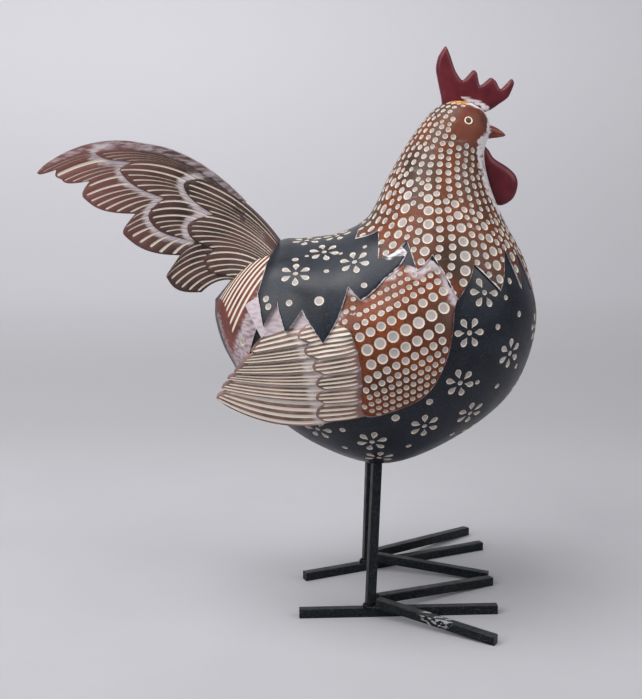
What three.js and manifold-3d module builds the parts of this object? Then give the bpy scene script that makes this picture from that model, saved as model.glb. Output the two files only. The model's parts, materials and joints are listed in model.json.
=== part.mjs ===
// Decorative rooster: a one-piece carved resin casting on two legs and feet of welded square steel bar.
// Millimetres, +Z up. The bird faces +X and its left side is +Y. X = 0 is at the legs until the last step.

import * as THREE from "three";
import { LoftGeometry } from "three/addons/geometries/LoftGeometry.js";
import { mergeVertices } from "three/addons/utils/BufferGeometryUtils.js";
import Module from "manifold-3d";

const wasm = await Module();
wasm.setup();

// Driving dimensions of the bar legs and feet
const BAR = 4.8;
const BAR_CORNER = 0.5;
const GAP = 0.3;
const LEG_TURN = 0.25;
const TOE_START = 4.6;
const TOE_ROOT_RISE = 0.5;
const SOCKET_DEPTH = 14;
const FOOT = {
  right: {
    leg: [0.2, -34], hip: [4, -22], heel: [-36.8, -36.9],
    toe: [66.8, -31.3], outer: [60.7, -70.9], inner: [68.6, 8.2],
  },
  left: {
    leg: [0.8, 32], hip: [2.6, 22], heel: [-34.6, 14.8],
    toe: [70.4, 64.9], outer: [64.5, 91.4], inner: [68.2, 14.6],
  },
};
const HIP_HEIGHT = 80;

// Driving dimensions of the bird
const CAPE_STEP = 1.4;
const CAPE_HEAD_STEP = 0.5;
const SADDLE_STEP = 0.9;
const SADDLE_OVER_WING = 4.6;
const SADDLE_RISE = [25, 62];
const SADDLE_FADE = [5, 6.2];
const LAYER_SINK = 3;
const WING_RIDGE = 0.6;
const TAIL_RIDGE = 0.8;
const SHINGLE = 0.9;
const TAIL_HALF_THICKNESS = { outer: 2.0, middle: 3.1, inner: 4.2 };
const TAIL_START = { outer: 0.08, middle: 0.2, inner: 0 };
const TAIL_TIP_BULGE = 4;
const TAIL_FLARE = 15;
const TAIL_FLARE_LENGTH = 13;
const TAIL_TOP_FLARE = 0.3;
const COMB_THICKNESS = 6;
const WATTLE_THICKNESS = 7;
const BEVEL = 0.9;

// Body sections from the rump to the crown: ends of the section at the back and at the belly, and half width
const SECTIONS = [
  { back: [-81, 161.5], belly: [-81, 161.5], half: 0 },
  { back: [-64, 181], belly: [-80.5, 150], half: 20 },
  { back: [-47, 191.5], belly: [-74, 132], half: 36 },
  { back: [-36, 192.5], belly: [-56, 106], half: 47.5 },
  { back: [-26, 193.5], belly: [-26, 84], half: 54 },
  { back: [-17, 195], belly: [9, 74.5], half: 57 },
  { back: [-9, 198], belly: [45.4, 88.8], half: 58 },
  { back: [-1, 203], belly: [75.2, 114.4], half: 55 },
  { back: [4, 211], belly: [87, 150], half: 48.6 },
  { back: [8.4, 221.3], belly: [80.2, 180.3], half: 39.6 },
  { back: [13.3, 230.9], belly: [67.6, 204.5], half: 30.6 },
  { back: [19.3, 241.5], belly: [60.2, 222.3], half: 23.7 },
  { back: [26.2, 251.5], belly: [57.3, 237.5], half: 19.3 },
  { back: [33, 259.3], belly: [59.9, 248.3], half: 16 },
  { back: [41, 263.4], belly: [58.1, 257.2], half: 10.6 },
  { back: [50.5, 263.4], belly: [50.5, 263.4], half: 0 },
];
const LAST = SECTIONS.length - 1;
const NECK = 13;
const SUNK_TOP = 12.5;
const HEAD_TOP = LAST - 0.02;

// Lower edge of the neck hackle, from the mid-back round to the breast: angle in degrees, body section
const HACKLE_EDGE = [
  [180, 6.75], [160, 5.95], [154, 7.1], [138, 6.42], [131, 7.68], [118, 7.2], [113, 7.86], [92, 7.44],
  [86, 8.34], [67, 8.16], [53, 9.18], [45, 8.46], [33, 9.35], [22, 8.55], [10, 9.4], [0, 8.6],
];

// Lower edge of the saddle from the tail to the neck: body section, angle in degrees
const SADDLE_EDGE = [
  [1.85, 130], [2, 104], [2.5, 89], [2.66, 109], [3.12, 96], [3.46, 112], [4.08, 100], [5.02, 129],
  [5.34, 121], [6.3, 127], [7.4, 128],
];

// Faces under the side feathers: the place in side view where each is widest, and how it falls away
const WING_FACE = { x: 5, z: 143, out: 61, front: 0.0024, rear: 0.004, above: 0.0095, below: 0.0068 };
const RUMP_FACE = { x: -60, z: 150, out: 38.5, slope: 0.9, endwise: 0.012, upright: 0.02 };

// Wing shoulder: outline in side view, and its rings from the middle outward as size and height
const SHOULDER_RINGS = [[0, 2.6], [0.45, 2.5], [0.8, 1.8], [0.95, 0.8], [1, -0.6], [1, -12], [0, -12]];
const SHOULDER = [
  [-4.5, 112], [13, 115.5], [26.8, 124], [35, 140], [36.6, 157], [29.5, 169], [15, 180], [-6, 180], [-17, 167],
  [-11, 150], [-5, 132],
];

// Feathers carved on the sides, top one first: lower edges as root, control point and tip, then the top edge
const SECONDARIES = {
  lines: [
    [[0, 156], [-16, 151.5], [-36, 148]],
    [[0, 148], [-14, 143.5], [-31.5, 140.6]],
    [[0, 139], [-12, 135.5], [-28, 133]],
    [[0, 130], [-12, 127.5], [-28, 125.4]],
    [[0, 121.5], [-12, 119.5], [-28, 118]],
    [[0, 112.6], [-12, 109.8], [-28, 107.6]],
  ],
  top: [[0, 166], [-18, 161], [-38, 156]],
  lift: 1.4, depth: 8, round: 0.14, notch: 0,
};
const PRIMARIES = {
  lines: [
    [[-18, 152], [-40, 146.6], [-61, 141]],
    [[-18, 144.5], [-40, 139.4], [-65.4, 135.4]],
    [[-18, 137], [-40, 132.4], [-69.6, 130]],
    [[-18, 129.5], [-40, 125.4], [-73.2, 126]],
    [[-18, 121], [-40, 117.2], [-76.4, 120.2]],
    [[-18, 108.5], [-48, 97.8], [-79.4, 114]],
  ],
  top: [[-18, 162], [-38, 160], [-54, 154.4]],
  lift: 0, depth: 7, round: 0, notch: 0.03,
};
const RUMP = {
  lines: [
    [[-52, 174], [-67, 168], [-72, 147]],
    [[-52, 182], [-73, 175], [-79, 151]],
  ],
  top: [[-52, 167], [-61, 161], [-65, 145]],
  lift: 1, depth: 10, round: 0.1, notch: 0,
};

// Tail layers in the mid-plane: edge and centre line of each feather in turn, as root, control point and end
const TAIL = {
  outer: [
    [[-46, 192], [-113, 269.5], [-168, 231]], [[-47, 190], [-111, 263], [-171.2, 227]],
    [[-48, 189], [-106, 257], [-161.5, 228.9]], [[-49, 187.5], [-105, 251], [-159, 224]],
    [[-50, 186], [-101, 243], [-144.7, 223]], [[-51, 184.5], [-101, 236], [-147, 213.5]],
    [[-52, 182.5], [-94, 224], [-121.6, 206.3]], [[-53.5, 180], [-94, 216], [-127.5, 195]],
    [[-55, 177.5], [-85, 203], [-99, 184.8]], [[-57, 175], [-84, 194], [-106, 173]],
    [[-60, 169], [-76, 178], [-88, 165.5]],
  ],
  middle: [
    [[-47, 191], [-90, 252], [-136, 240.6]], [[-48, 189.5], [-90, 247], [-141.2, 237.2]],
    [[-49, 188], [-87, 238], [-122.4, 233]], [[-50, 186], [-87, 230], [-128.6, 227.6]],
    [[-51.5, 184], [-83, 219], [-106.3, 214.5]], [[-53, 181], [-84, 210], [-114, 202.5]],
    [[-55, 177], [-78, 196], [-94, 192.8]],
  ],
  inner: [
    [[-46.5, 191.5], [-64, 217], [-88, 224.5]], [[-47.5, 190], [-66, 212], [-96.4, 221]],
    [[-49, 188], [-66, 204], [-81.5, 206.3]], [[-50.5, 185.5], [-70, 200], [-94.8, 199.3]],
    [[-52, 182], [-67, 191], [-81.5, 188.2]], [[-54, 178], [-68, 185], [-85.6, 180.2]],
    [[-57, 173], [-65, 176], [-73, 174.2]],
  ],
};

// Head: comb and wattle outlines, beak axis, eye place on the body
const COMB = [
  [38, 258], [35.5, 266], [32.7, 279], [33.8, 285.5], [37.4, 290.8], [39.8, 286.4], [42.5, 279],
  [46.3, 273.9], [51.4, 278.9], [53.6, 277.6], [55.3, 271.4], [60.4, 275.2], [63.4, 273.4],
  [65.8, 269.6], [71, 274.6], [72.6, 272.2], [69.9, 265.1], [65.7, 260.6], [60, 256],
];
const WATTLE = [
  [55, 243.5], [60, 239.5], [63.4, 234.7], [70.3, 230.3], [74.8, 225.9], [75.9, 220.4],
  [73.4, 213.8], [67, 210.5], [62.6, 214.4], [59.2, 225.9], [55.5, 236],
];
const BEAK_ROOT = [54, 248.8];
const BEAK_TIP = [69, 247.3];
const BEAK_PROFILE = [[0, 0], [4.6, 0], [3.5, 6.5], [2.4, 11], [1, 14], [0, 15]];
const EYE = { section: 13.08, angle: 85, ring: 2.1, wire: 0.7 };

// Numbers of steps along the faceted forms
const BODY_STEPS = 19;
const BODY_ROUND = 28;
const HACKLE_EDGE_STEPS = 2;
const HACKLE_ROWS = [0, 0.2, 0.4, 0.6, 0.75, 0.87, 0.95, 1];
const SADDLE_EDGE_STEPS = 1;
const SADDLE_ROUND = 12;
const SHOULDER_ROUND = 22;
const FEATHER_ACROSS = 4;
const FEATHER_ALONG = 3;
const TAIL_ACROSS = 4;
const TAIL_ALONG = { outer: 5, middle: 4, inner: 3 };
const WELD = 1e-4;

const smooth = THREE.MathUtils.smoothstep;
const mix = THREE.MathUtils.lerp;
const radians = THREE.MathUtils.degToRad;

// Closed solid from a three.js geometry: welded, without collapsed faces, facing outward
function solid(geometry) {
  geometry.deleteAttribute("normal");
  geometry.deleteAttribute("uv");
  const welded = mergeVertices(new THREE.BufferGeometry().copy(geometry), WELD);
  const corners = welded.getIndex().array;
  const faces = [];
  for (let i = 0; i < corners.length; i += 3) {
    const [a, b, c] = corners.slice(i, i + 3);
    if (a !== b && b !== c && c !== a) faces.push([a, b, c]);
  }
  const make = (list) => new wasm.Manifold(new wasm.Mesh({
    numProp: 3,
    vertProperties: new Float32Array(welded.getAttribute("position").array),
    triVerts: new Uint32Array(list.flat()),
  }));
  const made = make(faces);
  return made.volume() > 0 ? made : make(faces.map(([a, b, c]) => [a, c, b]));
}

// Skin over closed sections: each end runs in to the middle of its last section
function skin(sections) {
  const middle = (ring) => ring.reduce((sum, p) => sum.add(p), new THREE.Vector3()).divideScalar(ring.length);
  const ends = [sections[0], sections.at(-1)].map((ring) => ring.map(() => middle(ring)));
  return solid(new LoftGeometry([ends[0], ...sections, ends[1]]));
}

// Value of a broken line at a place counted in its points
function along(points, place) {
  const i = Math.min(Math.floor(place), points.length - 2);
  const f = place - i;
  return [mix(points[i][0], points[i + 1][0], f), mix(points[i][1], points[i + 1][1], f)];
}

// Point of the body at a section number and an angle round it, 0 at the belly and 180 at the back
const rounded = (points) => new THREE.CatmullRomCurve3(points, false, "catmullrom", 0.5);
const backLine = rounded(SECTIONS.map(({ back }) => new THREE.Vector3(back[0], 0, back[1])));
const bellyLine = rounded(SECTIONS.map(({ belly }) => new THREE.Vector3(belly[0], 0, belly[1])));
const widthLine = rounded(SECTIONS.map(({ half }, i) => new THREE.Vector3(i, half, 0)));

function bodyPoint(section, degrees, lift) {
  const back = backLine.getPoint(section / LAST);
  const belly = bellyLine.getPoint(section / LAST);
  const half = Math.max(widthLine.getPoint(section / LAST).y, 0);
  const reach = belly.clone().sub(back).multiplyScalar(0.5);
  const point = belly.add(back).multiplyScalar(0.5);
  const length = reach.length();
  if (length > 0) point.addScaledVector(reach, (length + lift) / length * Math.cos(radians(degrees)));
  point.y = (half + lift) * Math.sin(radians(degrees));
  return point;
}

function body() {
  const sections = [];
  for (let i = 0; i <= BODY_STEPS; i += 1) {
    const ring = [];
    const place = NECK * i / BODY_STEPS;
    for (let j = 0; j < BODY_ROUND; j += 1) ring.push(bodyPoint(place, 360 * j / BODY_ROUND, 0));
    sections.push(ring);
  }
  return skin(sections);
}

// Neck hackle: a raised layer from its pointed edge up to the crown
function hackle() {
  const edge = [];
  for (let j = 0; j < (HACKLE_EDGE.length - 1) * HACKLE_EDGE_STEPS; j += 1) {
    edge.push(along(HACKLE_EDGE, j / HACKLE_EDGE_STEPS));
  }
  const far = edge.slice(1).reverse().map(([angle, section]) => [-angle, section]);
  const round = [...edge, [0, HACKLE_EDGE.at(-1)[1]], ...far];
  const rows = [];
  for (const part of HACKLE_ROWS.toReversed()) {
    rows.push(round.map(([angle, section]) => bodyPoint(mix(section, SUNK_TOP, part), angle, -LAYER_SINK)));
  }
  for (const part of HACKLE_ROWS) {
    const lift = mix(CAPE_STEP, CAPE_HEAD_STEP, Math.sqrt(part));
    rows.push(round.map(([angle, section]) => bodyPoint(mix(section, HEAD_TOP, part), angle, lift)));
  }
  const crown = bodyPoint(LAST, 90, 0);
  crown.z += CAPE_HEAD_STEP;
  rows.push(round.map(() => crown.clone()));
  return skin(rows);
}

// Layer between an outer and an inner face: each column gives that pair of points at a place along the layer
function layer(columns, from, steps) {
  const ring = (pairs) => [...pairs.map(([outer]) => outer), ...pairs.map(([, inner]) => inner).reverse()];
  const shut = (pairs) => pairs.map(([outer, inner]) => Array(2).fill(outer.clone().lerp(inner, 0.5)));
  const rows = [];
  for (let i = 0; i <= steps; i += 1) rows.push(columns.map((column) => column(mix(from, 1, i / steps))));
  const ends = [shut(rows[0]), shut(rows.at(-1))];
  return solid(new LoftGeometry([ends[0], ...rows, ends[1]].map(ring)));
}

// Saddle: a raised layer over the back whose points lie over the wings
function saddleLift(section, degrees) {
  const share = smooth(180 - degrees, ...SADDLE_RISE) * (1 - smooth(section, ...SADDLE_FADE));
  return mix(SADDLE_STEP, SADDLE_OVER_WING, share);
}

function saddle() {
  const columns = [];
  for (let j = 0; j <= SADDLE_ROUND; j += 1) {
    columns.push((place) => {
      const [section, edge] = along(SADDLE_EDGE, place * (SADDLE_EDGE.length - 1));
      const degrees = mix(edge, 360 - edge, j / SADDLE_ROUND);
      const lift = saddleLift(section, Math.min(degrees, 360 - degrees));
      return [bodyPoint(section, degrees, lift), bodyPoint(section, degrees, -LAYER_SINK)];
    });
  }
  return layer(columns, 0, (SADDLE_EDGE.length - 1) * SADDLE_EDGE_STEPS);
}

// Outer faces that carved feathers lie on: distance from the mid-plane at a place in side view
function wingFace(x, z) {
  const { front, rear, above, below } = WING_FACE;
  const endwise = (x > WING_FACE.x ? front : rear) * (x - WING_FACE.x) ** 2;
  const upright = (z > WING_FACE.z ? above : below) * (z - WING_FACE.z) ** 2;
  return WING_FACE.out - endwise - upright;
}

function rumpFace(x, z) {
  const { out, slope, endwise, upright } = RUMP_FACE;
  const ahead = x - RUMP_FACE.x;
  return out + slope * ahead - endwise * ahead ** 2 - upright * (z - RUMP_FACE.z) ** 2;
}

function bend(points) {
  return new THREE.QuadraticBezierCurve(...points.map(([x, z]) => new THREE.Vector2(x, z)));
}

// Feathers carved on a face: each lower edge stands over the next feather, each upper edge is tucked under
function faceFeathers({ lines, top, lift, depth, round, notch }, face, hand) {
  const columns = [];
  for (let i = lines.length - 1; i >= 0; i -= 1) {
    const lower = bend(lines[i]);
    const upper = bend(i > 0 ? lines[i - 1] : top);
    for (let j = 0; j <= FEATHER_ACROSS; j += 1) {
      const part = j / FEATHER_ACROSS;
      const reach = 1 - round * (2 * part - 1) ** 2;
      const level = lift + SHINGLE * (1 - 2 * part) + (j % 2 === 0 ? 0 : -WING_RIDGE);
      columns.push((place) => {
        const over = upper.getPoint(place * reach * (1 - notch));
        const { x, y: z } = lower.getPoint(place * reach).lerp(over, part);
        return [level, -depth].map((out) => new THREE.Vector3(x, hand * (face(x, z) + out), z));
      });
    }
  }
  return layer(columns, 0, FEATHER_ALONG);
}

// Wing shoulder: a low dome with a rounded rim
function shoulder(hand) {
  const points = SHOULDER.map(([x, z]) => new THREE.Vector3(x, 0, z));
  const rim = new THREE.CatmullRomCurve3(points, true, "catmullrom", 0.5);
  const outline = rim.getPoints(SHOULDER_ROUND).slice(0, -1);
  const middle = outline.reduce((sum, p) => sum.add(p), new THREE.Vector3()).divideScalar(outline.length);
  const rows = SHOULDER_RINGS.map(([size, lift]) => outline.map((p) => {
    const place = middle.clone().lerp(p, size);
    place.y = hand * (wingFace(place.x, place.z) + lift);
    return place;
  }));
  return skin(rows);
}

// Tail layer: alike on both sides of the mid-plane, thick where it leaves the rump, with long grooves
function tailLayer(name) {
  const lines = TAIL[name].map(bend);
  const columns = [];
  const steps = (lines.length - 1) * TAIL_ACROSS;
  for (let j = 0; j <= steps; j += 1) {
    const first = Math.min(Math.floor(j / TAIL_ACROSS), lines.length - 2);
    const part = j / TAIL_ACROSS - first;
    const groove = j % 2 === 0 ? TAIL_RIDGE : 0;
    const share = mix(TAIL_TOP_FLARE, 1, smooth(j / steps, 0, 0.5));
    columns.push((place) => {
      const point = lines[first].getPoint(place).lerp(lines[first + 1].getPoint(place), part);
      const heading = lines[first].getTangent(place).lerp(lines[first + 1].getTangent(place), part);
      const root = lines[first].getPoint(0).lerp(lines[first + 1].getPoint(0), part);
      const flare = TAIL_FLARE * share * Math.exp(-point.distanceTo(root) / TAIL_FLARE_LENGTH);
      const thick = TAIL_HALF_THICKNESS[name] + flare - groove * place;
      point.addScaledVector(heading, TAIL_TIP_BULGE * Math.sin(Math.PI * part) * place ** 5);
      return [thick, -thick].map((out) => new THREE.Vector3(point.x, out, point.y));
    });
  }
  return layer(columns, TAIL_START[name], TAIL_ALONG[name]);
}

// Plate in the mid-plane with rounded faces, from an outline in side view
function plate(outline, thickness) {
  const points = outline.map(([x, z]) => new THREE.Vector3(x, z, 0));
  const curve = new THREE.CatmullRomCurve3(points, true, "catmullrom", 0.4);
  const rim = curve.getPoints(outline.length * 2).slice(0, -1);
  const shape = new THREE.Shape(rim.map((p) => new THREE.Vector2(p.x, p.y)));
  const depth = thickness - 2 * BEVEL;
  const geometry = new THREE.ExtrudeGeometry(shape, {
    depth, bevelThickness: BEVEL, bevelSize: BEVEL, bevelOffset: -BEVEL, bevelSegments: 1,
  });
  geometry.translate(0, 0, -depth / 2);
  geometry.rotateX(Math.PI / 2);
  return solid(geometry);
}

function beak() {
  const geometry = new THREE.LatheGeometry(BEAK_PROFILE.map(([r, h]) => new THREE.Vector2(r, h)), 14);
  const dip = Math.atan2(BEAK_TIP[1] - BEAK_ROOT[1], BEAK_TIP[0] - BEAK_ROOT[0]);
  geometry.rotateZ(-Math.PI / 2);
  geometry.rotateY(-dip);
  geometry.translate(BEAK_ROOT[0], 0, BEAK_ROOT[1]);
  return solid(geometry);
}

function eye(hand) {
  const place = bodyPoint(EYE.section, hand * EYE.angle, CAPE_HEAD_STEP);
  const away = bodyPoint(EYE.section, hand * EYE.angle, 1 + CAPE_HEAD_STEP).sub(place).normalize();
  const geometry = new THREE.TorusGeometry(EYE.ring, EYE.wire, 5, 10);
  geometry.applyQuaternion(new THREE.Quaternion().setFromUnitVectors(new THREE.Vector3(0, 0, 1), away));
  geometry.translate(place.x, place.y, place.z);
  return solid(geometry);
}

// Square bar with rounded edges, upright, from a foot point to a top point: both ends stay level
function squareSection(side) {
  const half = side / 2;
  const flat = half - BAR_CORNER;
  const shape = new THREE.Shape();
  shape.moveTo(-flat, -half);
  shape.absarc(flat, -flat, BAR_CORNER, -Math.PI / 2, 0);
  shape.absarc(flat, flat, BAR_CORNER, 0, Math.PI / 2);
  shape.absarc(-flat, flat, BAR_CORNER, Math.PI / 2, Math.PI);
  shape.absarc(-flat, -flat, BAR_CORNER, Math.PI, 1.5 * Math.PI);
  return shape;
}

function extrudeBar(side, depth) {
  return new THREE.ExtrudeGeometry(squareSection(side), { depth, bevelEnabled: false, curveSegments: 2 });
}

function upright(side, foot, top, turn) {
  const rise = top.z - foot.z;
  const geometry = extrudeBar(side, rise);
  geometry.rotateZ(turn);
  const lean = new THREE.Matrix4().makeShear(0, 0, 0, 0, (top.x - foot.x) / rise, (top.y - foot.y) / rise);
  geometry.applyMatrix4(lean);
  geometry.translate(foot.x, foot.y, foot.z);
  return geometry;
}

// Lying bar between two points under its middle line: both ends stay upright
function lying(from, to) {
  const run = Math.hypot(to.x - from.x, to.y - from.y);
  const geometry = extrudeBar(BAR, run);
  geometry.rotateX(Math.PI / 2);
  geometry.rotateZ(Math.PI / 2);
  geometry.applyMatrix4(new THREE.Matrix4().makeShear(0, (to.z - from.z) / run, 0, 0, 0, 0));
  geometry.rotateZ(Math.atan2(to.y - from.y, to.x - from.x));
  geometry.translate(from.x, from.y, from.z + BAR / 2);
  return geometry;
}

const flat = ([x, y], z) => new THREE.Vector3(x, y, z);

// One leg and foot: the leg stands on the long bar, and the side toes start on it just in front of the leg
function legAndFoot({ leg, hip, heel, toe, outer, inner }) {
  const top = BAR + GAP;
  const sideToe = (tip) => {
    const reach = new THREE.Vector2(tip[0] - leg[0], tip[1] - leg[1]).normalize().multiplyScalar(TOE_START);
    return lying(flat([leg[0] + reach.x, leg[1] + reach.y], top + TOE_ROOT_RISE), flat(tip, 0));
  };
  return {
    leg: upright(BAR, flat(leg, top), flat(hip, HIP_HEIGHT + SOCKET_DEPTH), LEG_TURN),
    socket: upright(BAR + 2 * GAP, flat(leg, top), flat(hip, HIP_HEIGHT + SOCKET_DEPTH + GAP), LEG_TURN),
    long_toe: lying(flat(heel, 0), flat(toe, 0)),
    outer_toe: sideToe(outer),
    inner_toe: sideToe(inner),
  };
}

const feet = { right: legAndFoot(FOOT.right), left: legAndFoot(FOOT.left) };

// The casting: every carved form joined into one body, with a socket for each leg
function casting() {
  const forms = [body(), hackle(), saddle(), beak()];
  forms.push(plate(COMB, COMB_THICKNESS), plate(WATTLE, WATTLE_THICKNESS));
  for (const name of Object.keys(TAIL)) forms.push(tailLayer(name));
  for (const hand of [-1, 1]) {
    forms.push(shoulder(hand), eye(hand), faceFeathers(RUMP, rumpFace, hand));
    forms.push(faceFeathers(PRIMARIES, wingFace, hand), faceFeathers(SECONDARIES, wingFace, hand));
  }
  let joined = forms[0];
  for (const form of forms.slice(1)) joined = joined.add(form);
  for (const foot of Object.values(feet)) joined = joined.subtract(solid(foot.socket));
  const mesh = joined.getMesh();
  const geometry = new THREE.BufferGeometry();
  geometry.setAttribute("position", new THREE.BufferAttribute(new Float32Array(mesh.vertProperties), 3));
  geometry.setIndex(Array.from(mesh.triVerts));
  geometry.computeVertexNormals();
  return geometry;
}

const group = new THREE.Group();

function addNode(name, geometry, color, roughness, metalness) {
  const mesh = new THREE.Mesh(geometry, new THREE.MeshStandardMaterial({ color, roughness, metalness }));
  mesh.name = name;
  group.add(mesh);
}

addNode("rooster_figure", casting(), 0x6b3a2c, 0.6, 0);
for (const [side, foot] of Object.entries(feet)) {
  for (const piece of ["leg", "long_toe", "outer_toe", "inner_toe"]) {
    addNode(`${side}_${piece}`, foot[piece], 0x14181d, 0.45, 0.4);
  }
}

// Origin at the middle of the footprint box, on the floor
const box = new THREE.Box3().setFromObject(group);
const middle = box.getCenter(new THREE.Vector3());
for (const mesh of group.children) mesh.geometry.translate(-middle.x, -middle.y, -box.min.z);

export default group;
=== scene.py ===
import json
import math

import bmesh
import bpy
import numpy as np
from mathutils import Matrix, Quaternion, Vector
from mathutils.bvhtree import BVHTree
from mathutils.geometry import delaunay_2d_cdt

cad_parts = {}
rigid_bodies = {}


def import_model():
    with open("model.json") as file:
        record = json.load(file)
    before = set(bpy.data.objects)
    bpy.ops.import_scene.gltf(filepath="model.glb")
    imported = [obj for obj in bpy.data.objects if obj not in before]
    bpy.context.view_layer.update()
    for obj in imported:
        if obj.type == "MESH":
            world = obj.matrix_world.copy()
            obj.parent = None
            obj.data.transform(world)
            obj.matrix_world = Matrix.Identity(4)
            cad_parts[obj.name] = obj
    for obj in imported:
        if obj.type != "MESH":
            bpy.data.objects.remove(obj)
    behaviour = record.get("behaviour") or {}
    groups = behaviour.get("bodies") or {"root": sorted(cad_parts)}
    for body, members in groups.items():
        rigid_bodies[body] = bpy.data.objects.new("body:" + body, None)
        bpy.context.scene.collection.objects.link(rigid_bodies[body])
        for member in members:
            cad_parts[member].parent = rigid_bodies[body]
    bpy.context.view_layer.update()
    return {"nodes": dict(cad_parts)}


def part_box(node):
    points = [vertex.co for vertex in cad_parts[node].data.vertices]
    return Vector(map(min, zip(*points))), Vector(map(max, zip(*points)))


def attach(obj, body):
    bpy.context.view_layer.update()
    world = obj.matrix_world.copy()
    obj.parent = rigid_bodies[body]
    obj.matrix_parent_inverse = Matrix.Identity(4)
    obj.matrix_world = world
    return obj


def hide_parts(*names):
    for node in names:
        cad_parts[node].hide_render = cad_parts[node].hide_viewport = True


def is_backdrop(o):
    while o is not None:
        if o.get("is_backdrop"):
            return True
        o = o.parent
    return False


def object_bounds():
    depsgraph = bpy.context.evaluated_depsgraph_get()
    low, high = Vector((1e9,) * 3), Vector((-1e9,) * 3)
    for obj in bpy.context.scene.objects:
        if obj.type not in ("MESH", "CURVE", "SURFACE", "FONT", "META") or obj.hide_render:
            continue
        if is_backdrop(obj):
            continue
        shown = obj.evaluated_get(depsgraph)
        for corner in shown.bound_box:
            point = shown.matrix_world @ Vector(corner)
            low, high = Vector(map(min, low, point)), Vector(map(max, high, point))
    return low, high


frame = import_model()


# Body of the bird
# The barrel of the hollow resin casting, from the rump over the belly to the neck, painted satin blue-black.
# All carved forms grow out of it, so they are joined with it into one skin before the ornament is cut.

# Places along the body from rump to crown: back x, back z, belly x, belly z and half width, in millimetres
BODY_SECTIONS = [
    (-81, 161.5, -81, 161.5, 0), (-64, 181, -80.5, 150, 20), (-47, 191.5, -74, 132, 36),
    (-36, 192.5, -56, 106, 47.5), (-26, 193.5, -26, 84, 54), (-17, 195, 9, 74.5, 57),
    (-9, 198, 45.4, 88.8, 58), (-1, 203, 75.2, 114.4, 55), (4, 211, 87, 150, 48.6),
    (8.4, 221.3, 80.2, 180.3, 39.6), (13.3, 230.9, 67.6, 204.5, 30.6), (19.3, 241.5, 60.2, 222.3, 23.7),
    (26.2, 251.5, 57.3, 237.5, 19.3), (33, 259.3, 59.9, 248.3, 16), (41, 263.4, 58.1, 257.2, 10.6),
    (50.5, 263.4, 50.5, 263.4, 0),
]
NECK_SECTION = 13
CROWN_SECTION = 15
BODY_ROUND = 144
BODY_ROWS = 112
SEED = 7

# The foot bar gives the step from the bird's own millimetres, measured from its legs, to the frame
bar_low, bar_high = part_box("right_long_toe")
BIRD_ORIGIN = np.array([(bar_low.x + bar_high.x) * 500 - 15.0, (bar_low.y + bar_high.y) * 500 + 34.1, 0])

# Painted zones of the casting, in the order of its material slots
ZONES = ["navy", "hackle", "shoulder", "wing", "rump", "tail", "red", "beak", "eye_ring", "pupil", "inlay"]
ZONE = {name: number for number, name in enumerate(ZONES)}
zone_materials = [bpy.data.materials.new("paint_" + name) for name in ZONES]
casting_forms = bpy.data.collections.new("casting_forms")
bpy.context.scene.collection.children.link(casting_forms)


def ease(value, low, high):
    part = np.clip((np.asarray(value, float) - low) / (high - low), 0, 1)
    return part * part * (3 - 2 * part)


def mix(first, second, part):
    return first + (second - first) * part


def through(points, place, pull=0.5):
    # Smooth line through numbered points; less pull gives sharper corners
    points = np.asarray(points, float)
    place = np.clip(np.asarray(place, float), 0, len(points) - 1)
    first = np.minimum(place.astype(int), len(points) - 2)
    part = (place - first)[..., None]
    padded = np.vstack([2 * points[0] - points[1], points, 2 * points[-1] - points[-2]])
    before, start, end, after = (padded[first + step] for step in range(4))
    leave = (end - before) * pull
    arrive = (after - start) * pull
    cubic = (2 * start - 2 * end + leave + arrive) * part ** 3
    square = (3 * end - 3 * start - 2 * leave - arrive) * part ** 2
    return cubic + square + leave * part + start


def body_point(section, degrees, lift):
    # Point on the body at a section and an angle round it, 0 at the belly and 180 at the back
    section, degrees, lift = np.broadcast_arrays(*(np.asarray(v, float) for v in (section, degrees, lift)))
    back_x, back_z, belly_x, belly_z, half = np.moveaxis(through(BODY_SECTIONS, section), -1, 0)
    reach_x = (belly_x - back_x) / 2
    reach_z = (belly_z - back_z) / 2
    length = np.maximum(np.hypot(reach_x, reach_z), 1e-6)
    turn = np.radians(degrees)
    grow = (length + lift) / length * np.cos(turn)
    x = (back_x + belly_x) / 2 + reach_x * grow
    z = (back_z + belly_z) / 2 + reach_z * grow
    y = (np.maximum(half, 0) + lift) * np.sin(turn)
    return np.stack([x, y, z], -1)


def quads(index):
    corners = [index[:-1, :-1], index[:-1, 1:], index[1:, 1:], index[1:, :-1]]
    return np.stack(corners, -1).reshape(-1, 4).tolist()


def tube(rings, first_pole, last_pole):
    # Closed skin over rings of points, run in to a point at each end
    rows, columns = rings.shape[:2]
    index = np.arange(rows * columns).reshape(rows, columns)
    index = np.hstack([index, index[:, :1]])
    points = np.vstack([rings.reshape(-1, 3), first_pole, last_pole])
    faces = quads(index)
    faces += [(index[0, j + 1], index[0, j], len(points) - 2) for j in range(columns)]
    faces += [(index[-1, j], index[-1, j + 1], len(points) - 1) for j in range(columns)]
    return points, faces


def slab(outer, inner):
    # Closed layer between two grids of points
    rows, columns = outer.shape[:2]
    count = rows * columns
    index = np.arange(count).reshape(rows, columns)
    border = np.concatenate([index[0, :-1], index[:-1, -1], index[-1, :0:-1], index[:0:-1, 0]])
    faces = quads(index) + [face[::-1] for face in quads(index + count)]
    faces += [(b, a, a + count, b + count) for a, b in zip(border, np.roll(border, -1))]
    return np.vstack([outer.reshape(-1, 3), inner.reshape(-1, 3)]), faces


def distance_to(points, line):
    # Distance of each point from a broken line
    points = np.asarray(points, float)
    line = np.asarray(line, float)
    best = np.full(len(points), 1e9)
    for start, end in zip(line[:-1], line[1:]):
        run = end - start
        share = np.clip((points - start) @ run / max(run @ run, 1e-9), 0, 1)
        best = np.minimum(best, np.linalg.norm(points - start - share[:, None] * run, axis=1))
    return best


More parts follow.
